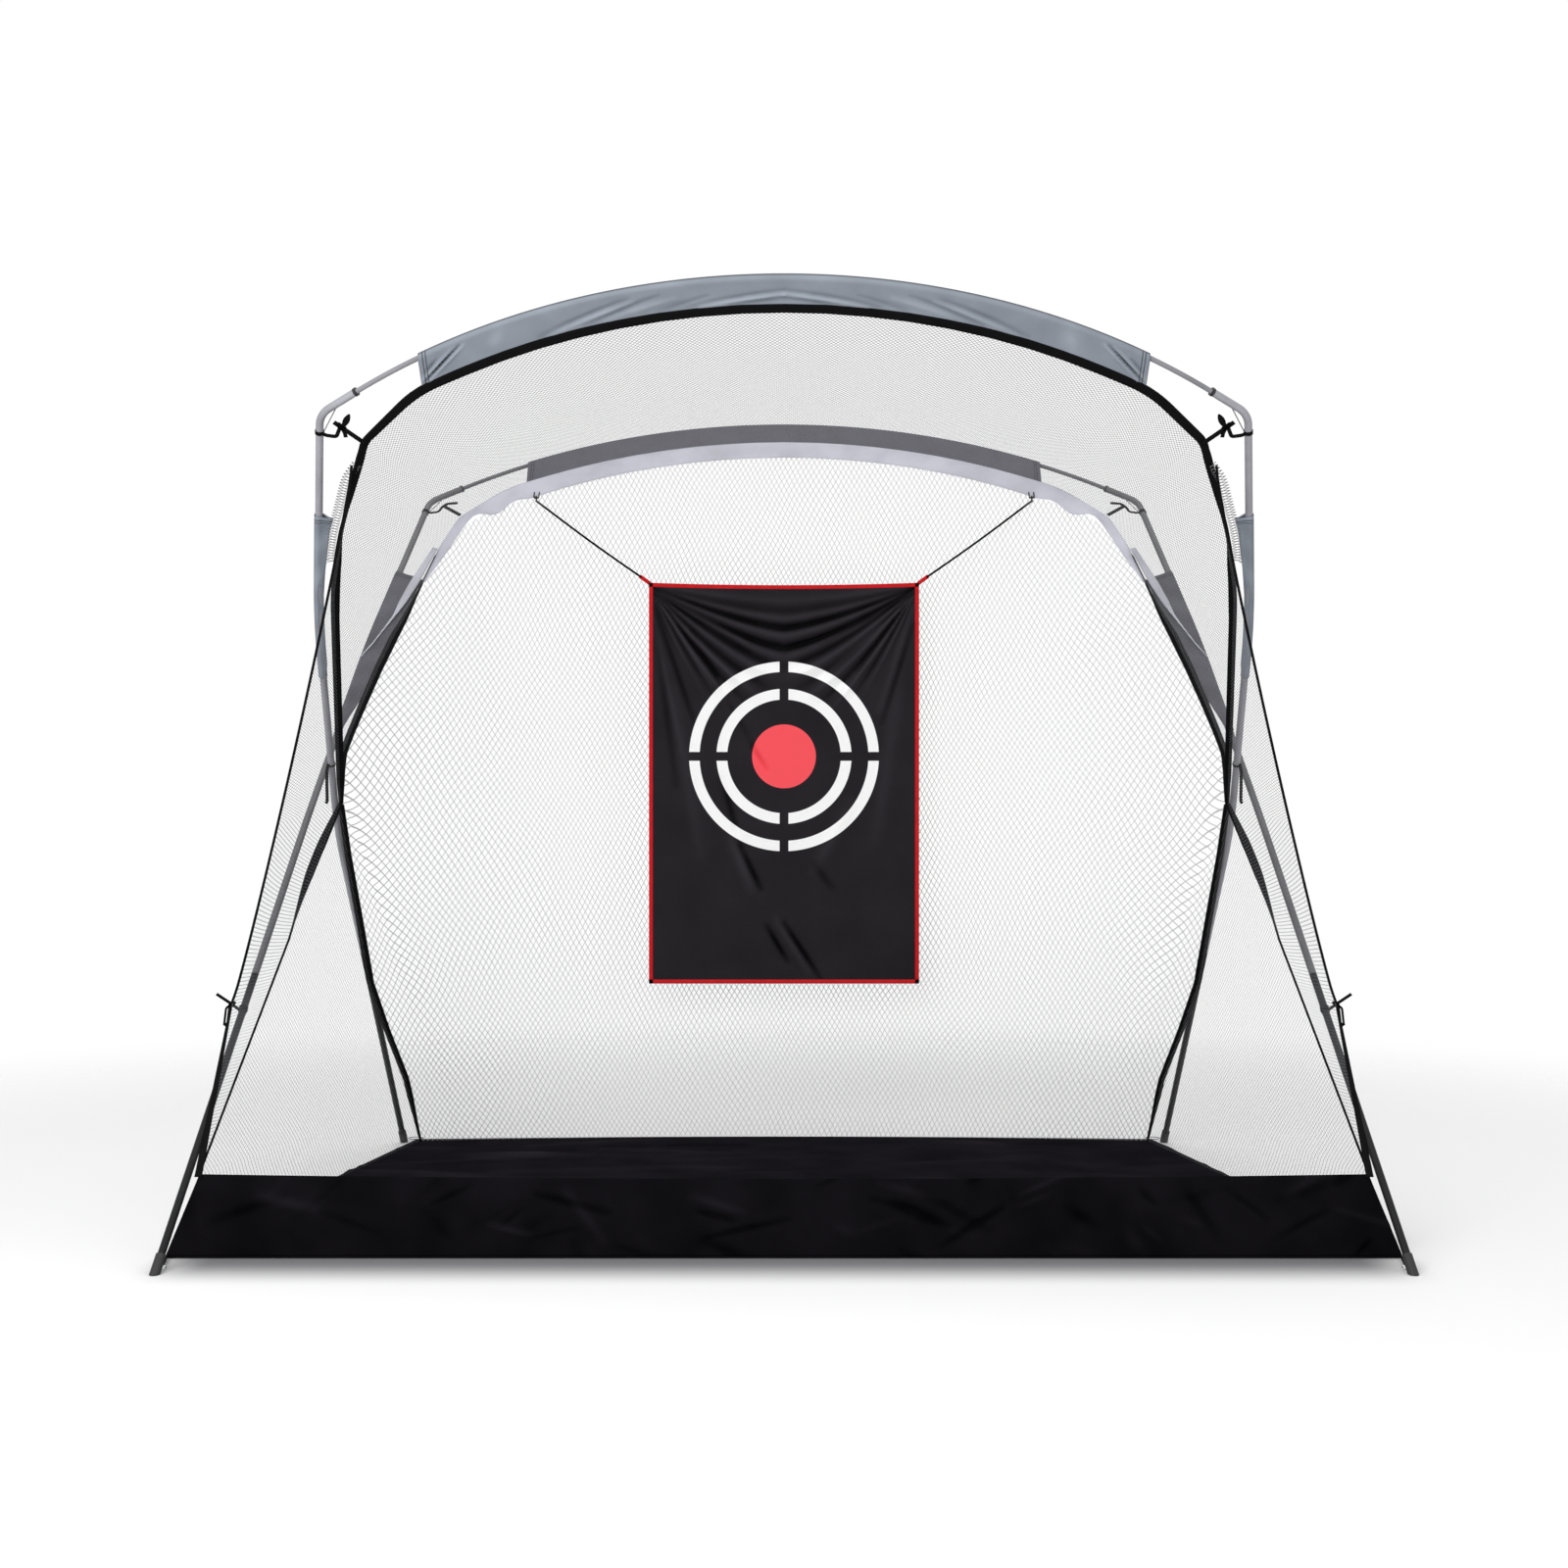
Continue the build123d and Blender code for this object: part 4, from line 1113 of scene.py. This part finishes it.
# %% Ball stop
stop_folds = []
for k in range(60):
    p, q = draw.uniform(-1.5, 1.5), draw.uniform(0.0, 0.2)
    run, turn_by = draw.uniform(0.05, 0.22), draw.uniform(0.2, 1.0) * draw.choice((-1, 1))
    stop_folds.append((p, q, p + run * math.cos(turn_by), q + run * math.sin(turn_by),
                       draw.uniform(-0.008, 0.008), draw.uniform(0.006, 0.016)))

stop_half, stop_top_half, stop_y = 1.549, 1.463, -0.815
stop_low, stop_height, stop_dip = 0.003, 0.2065, 0.012


def stop_spot(x, y):
    side = 2 * x - 1
    half = stop_half + (stop_top_half - stop_half) * y
    return side * half, stop_low + (stop_height - stop_dip * (1 - side ** 2)) * y


def stop_place(x, y):
    p, q = stop_spot(x, y)
    return Vector((p, stop_y - math.sin(math.pi * y) * fold_height(p, q, stop_folds), q))


# The folds' heights become painted highlight on the ridges and painted shade in the valleys.
def stop_fold_shading(x, y):
    return 0.26 + 55 * fold_height(*stop_spot(x, y), stop_folds)


stop = lay_sheet("ball_stop_cloth", 420, 28, stop_place, lambda x, y: (x * 3.0, y * 0.21),
                 cloth_thick, stop_fold_shading)
dress(stop, stop_cloth, "floor_fabric", "ball_stop")
print("ball stop sewn with", len(stop_folds), "folds")

# %% [markdown]
# At each corner of the floor a webbing loop goes through the stake ring of the foot beside it. A bent
# strip could be modelled by extruding, but a tape laid along a flat oval gives the same loop. It is
# drawn once for the front and once for the rear, and mirrored.

# %% Corner loops
ring_z, ring_r, loop_r, loop_steps = 0.0068, 0.0125, 0.0038, 32
front_corner = (1.5221, -0.9559), (1.544, -0.8225)
rear_corner = (1.2592, 1.032), (1.205, 1.032)
up = Vector((0, 0, 1))
loops = []
for eye, end in (front_corner, rear_corner):
    eye, end = Vector((*eye, ring_z)), Vector((*end, ring_z))
    onward = (end - eye).normalized()
    start = eye + onward * ring_r
    half = (end - start).length / 2 + 0.0035
    oval = []
    for k in range(loop_steps + 1):
        angle = math.tau * k / loop_steps
        reach, rise = half * math.cos(angle), loop_r * math.sin(angle)
        oval.append((start + end) / 2 + onward * reach + up * rise)
    for side in hands:
        line = [mirror(p, side) for p in oval]
        flat = Vector((side * onward.y, -onward.x, 0))
        loops.append(lay_tape("loop", line, [flat] * len(line), 0.008, 0.001))
dress(join("corner_loop_tapes", loops), black_tape, "black_tape", "corner_loops")
print("corner loops made:", len(loops))

# %% [markdown]
# The target is a black cloth with a bound red edge. It hangs by its two top corners, so folds fan
# out from them and the cloth between them sags in crescents. A fold is given on the cut, from the
# middle of the top edge, by its two ends, its height and its width. A crescent is given by how deep
# it hangs and by its height, and it fades in the middle.

# %% Folds of the target
target_w, target_h = 0.88, 1.306
target_half = target_w / 2
target_folds = [
    (-0.20, -0.64, -0.14, -0.86, -0.006, 0.010),
    (-0.144, -0.856, -0.075, -1.00, -0.009, 0.009),
    (-0.170, -0.84, -0.105, -1.00, 0.006, 0.018),
    (-0.056, -1.12, 0.012, -1.235, -0.008, 0.008),
    (0.000, -1.11, 0.120, -1.292, -0.009, 0.008),
    (-0.026, -1.10, 0.080, -1.27, 0.005, 0.012),
    (0.22, -0.72, 0.10, -0.94, 0.004, 0.020),
    (0.10, -0.92, 0.16, -1.00, -0.004, 0.012),
    (-0.36, -0.35, -0.27, -0.90, 0.003, 0.020),
    (0.38, -0.30, 0.30, -0.85, 0.003, 0.022),
    (-0.42, -0.04, -0.22, -0.30, -0.006, 0.007),
    (-0.41, -0.05, -0.24, -0.33, 0.005, 0.008),
    (-0.42, -0.08, -0.29, -0.46, -0.006, 0.008),
    (-0.43, -0.10, -0.33, -0.56, 0.004, 0.010),
    (-0.42, -0.14, -0.35, -0.66, -0.004, 0.010),
    (0.42, -0.04, 0.24, -0.28, -0.004, 0.008),
    (0.42, -0.08, 0.31, -0.42, 0.004, 0.010),
    (-0.43, -0.03, -0.11, -0.22, -0.006, 0.006),
    (-0.42, -0.02, -0.12, -0.19, 0.006, 0.007),
    (-0.40, -0.08, -0.16, -0.31, 0.006, 0.007),
    (-0.30, -0.16, -0.10, -0.53, -0.004, 0.008),
    (-0.104, -0.53, -0.055, -0.61, -0.006, 0.007),
    (0.43, -0.03, 0.12, -0.20, -0.006, 0.006),
    (0.42, -0.05, 0.14, -0.29, 0.006, 0.007),
    (0.42, -0.14, 0.32, -0.46, -0.005, 0.008),
]
swags = (
    (0.045, 0.003), (0.080, -0.004), (0.105, 0.005), (0.134, -0.010), (0.160, 0.006), (0.200, -0.010),
    (0.228, 0.005), (0.262, -0.006), (0.300, 0.006), (0.350, -0.006), (0.400, 0.006), (0.460, -0.006),
    (0.530, 0.007), (0.610, -0.006), (0.700, 0.006), (0.820, -0.005),
)


def swag_height(p, q):
    near = abs(p) / target_half
    total = 0.0
    for depth, height in swags:
        line = -depth * (1 - near ** 1.35) - 0.008
        width = 0.006 + 0.010 * (1 - near)
        fade = min(max((near - (depth - 0.32) * 1.5) / 0.22, 0.0), 1.0)
        total += height * fade * math.exp(-(((q - line) / width) ** 2))
    return total


def target_relief(p, q):
    return fold_height(p, q, target_folds) + swag_height(p, q)


print("target folds and crescents:", len(target_folds), len(swags))

# %% [markdown]
# The rings and the disc are printed on the cloth. They could be thin pieces of their own, but a print
# has no thickness, so the finish works them out from the distance to the aiming point. A cross of
# bare cloth parts the rings.

# %% Printed target finish
aim_z, disc_r, bar_half = 1.276, 0.104, 0.0145
ring_edges = ((0.309, 0.275), (0.220, 0.185))
print_blur = 0.0015


def inside(value, limit):
    return ((limit - value) / print_blur + 0.5).do("ADD", 0.0, clamp=True)


def printed_target():
    finish = Finish("target_cloth", roughness=0.5, specular_ior_level=0.03)
    place = finish.coords("Object")
    x, z = place.part("X"), place.part("Z") - aim_z
    r = (x * x + z * z).do("SQRT")
    bars = (1 - inside(x.do("ABSOLUTE"), bar_half)) * (1 - inside(z.do("ABSOLUTE"), bar_half))
    outer, inner = (inside(r, big) * (1 - inside(r, small)) for big, small in ring_edges)
    slow = finish.cloud(place, 6.0)
    # The crease value paints shade in the folds' valleys and highlight on their ridges, on the black cloth
    # and the red disc.
    fold_shading = finish.crease()
    black = finish.blend(fold_shading + (slow - 0.5) * 0.3, (0.0008, 0.0007, 0.0010, 1), (0.042, 0.037, 0.045, 1))
    marked = finish.blend((outer + inner) * bars, black, (0.96, 0.96, 0.96, 1))
    red = finish.blend(fold_shading * 2.0, (0.80, 0.045, 0.060, 1), (0.98, 0.105, 0.125, 1))
    finish.wear("Base Color", finish.blend(inside(r, disc_r), marked, red))
    finish.bump(weave_of(finish.coords("UV"), 0.0016), 0.0006, 0.3)
    return finish.material


target_print = printed_target()
print("printed finish:", target_print.name)

# %% [markdown]
# The cloth is laid in the plane that hangs from the two hooks, and the folds die out at its edge,
# where the tape holds it flat. It swings as one stiff sheet, so its folds are part of its mesh and no
# simulation runs at the joint.

# %% Target cloth
swing_y, hang_z = 0.871887, 2.11973
target_top = hang_z - 0.278
target_y = swing_y - 0.001


def target_spot(x, y):
    return (x - 0.5) * target_w, (y - 1) * target_h


def target_place(x, y):
    p, q = target_spot(x, y)
    rim = min(1.0, (target_half - abs(p)) / 0.03) * min(1.0, -q / 0.02, (q + target_h) / 0.05)
    sag = -0.008 * (1 - (p / target_half) ** 2) * max(0.0, 1 + q / 0.5)
    return Vector((p, target_y - target_relief(p, q) * max(rim, 0.0), target_top + q + sag))


# The folds' heights are kept as crease values, for the painted shade and highlight of the target's finish.
def target_fold_shading(x, y):
    return 0.42 + 60 * target_relief(*target_spot(x, y))


target = lay_sheet("target_print", 150, 220, target_place, lambda x, y: (x * target_w, y * target_h),
                   cloth_thick, target_fold_shading)
dress(target, target_print, "target_cloth", "target_cloth", body="target")
print("target cloth", target_w, "by", target_h, "m")

# %% [markdown]
# A red tape is folded over the target's edge all round. It could be printed with the rings, but the
# real tape is thicker than the cloth. Four strips follow the cloth's own edges and overlap at the
# corners, as sewn tape does.

# %% Target edge tape
target_face = Vector((0, 1, 0))
binding_width, binding_thick = 0.013, 0.0032
inset_x, inset_y = binding_width / 2 / target_w, binding_width / 2 / target_h
target_edges = (
    ((0, 1 - inset_y), (1, 1 - inset_y)),
    ((0, inset_y), (1, inset_y)),
    ((inset_x, 0), (inset_x, 1)),
    ((1 - inset_x, 0), (1 - inset_x, 1)),
)


def target_edge(a, b, count=60):
    line = []
    for i in range(count + 1):
        x, y = a[0] + (b[0] - a[0]) * i / count, a[1] + (b[1] - a[1]) * i / count
        spot = target_place(x, y)
        line.append(Vector((spot.x, target_y, spot.z)))
    return line


strips = []
for a, b in target_edges:
    line = target_edge(a, b)
    strips.append(lay_tape("strip", line, sideways(line, target_face), binding_width, binding_thick))
dress(join("target_edge_tape", strips), red_tape, "red_tape", "target_binding", body="target")
print("target bound with", len(strips), "strips")

# %% [markdown]
# A short red loop at each top corner takes a cord, and the cord ends at the hook's neck. Both lie
# along the line of pull from the corner to the hook.

# %% Target cords and corner loops
hook_neck = Vector((0.807, swing_y, hang_z - 0.012))
target_corner = Vector((target_half, swing_y, target_top))
pull = (hook_neck - target_corner).normalized()
loop_run = [target_corner - pull * 0.004, target_corner + pull * 0.037]
cord_start, cord_end = target_corner + pull * 0.030, hook_neck - pull * 0.022
cord_length, cord_d = (cord_end - cord_start).length, 0.007
loops = []
for side, hand in hands.items():
    line = chain(loop_run, side, 8)
    loops.append(lay_tape("loop", line, sideways(line, target_face), 0.0125, 0.003))
    start, end = mirror(cord_start, side), mirror(cord_end, side)
    cord = taut_cord("target_line_" + hand, start, end, 0.004, cord_d)
    dress(cord, black_cord, "black_cord", "target_cord_" + hand, body="target")
    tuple(start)
    nodes["target_hook_" + hand]
dress(join("target_corner_tapes", loops), red_tape, "red_tape", "target_corner_loops", body="target")
print("target hung on two cords of", round(cord_length, 3), "m")

# %% [markdown]
# The studio floor is pale and fades into a white surround, so that it keeps the soft shadow under
# the net and shows no horizon. The photograph has a strong contact shadow along the front edge, so
# this floor is also a darker grey there.

# %% Studio floor
floor_white, shadow_grey = (0.93, 0.93, 0.93, 1), (0.23, 0.23, 0.24, 1)
bpy.ops.object.select_all(action="DESELECT")
bpy.ops.mesh.primitive_plane_add(size=24, location=(0, 0, -0.002))
ground = bpy.context.object
ground.name = "studio_floor"
pale = Finish("studio_floor", roughness=0.9)
place = pale.coords("Object")
across, back = place.part("X"), place.part("Y")
shadow = back.between(-1.13, -0.86) * back.between(-0.80, -0.74, 1.0, 0.0)
shadow = shadow * across.do("ABSOLUTE").between(1.42, 1.60, 1.0, 0.0)
pale.wear("Base Color", pale.blend(shadow, floor_white, shadow_grey))
distance = (across * across + back * back).do("SQRT")
pale.wear("Alpha", distance.between(2.2, 5.0, 1.0, 0.0))
ground.data.materials.append(pale.material)
print("studio floor laid")

# %% [markdown]
# Light and surround. The camera, reflections and glass see plain white, and the object itself is lit
# by a weaker sky and two large lamps, so that a colour renders about as it is written.

# %% Light and surround
sky_level = 0.6
world = bpy.context.scene.world or bpy.data.worlds.new("studio")
bpy.context.scene.world = world
world.use_nodes = True
sky = Nodes(world.node_tree)
seen = sky.node("ShaderNodeLightPath", {}, {}, "Is Camera Ray")
for ray in ("Is Glossy Ray", "Is Transmission Ray"):
    seen = seen.do("MAXIMUM", sky.node("ShaderNodeLightPath", {}, {}, ray))
background = sky.tree.nodes["Background"]
sky.feed(background.inputs["Color"], (1, 1, 1, 1))
sky.feed(background.inputs["Strength"], sky_level + seen * (1 - sky_level))

lamps = (
    ("key_light", (-2.0, -6.5, 3.2), (0, 0, 1.1), 4.0, 330),
    ("top_light", (0.5, 0.5, 6.0), (0, 0, 0), 5.0, 120),
)
for name, spot, turn_to, size, power in lamps:
    bpy.ops.object.light_add(type="AREA", location=spot)
    lamp = bpy.context.object
    lamp.name = name
    lamp.data.size = size
    lamp.data.energy = power
    lamp.rotation_euler = (Vector(turn_to) - Vector(spot)).to_track_quat("-Z", "Y").to_euler()
bpy.context.scene.view_settings.view_transform = "Standard"
print("lamps set:", len(lamps))
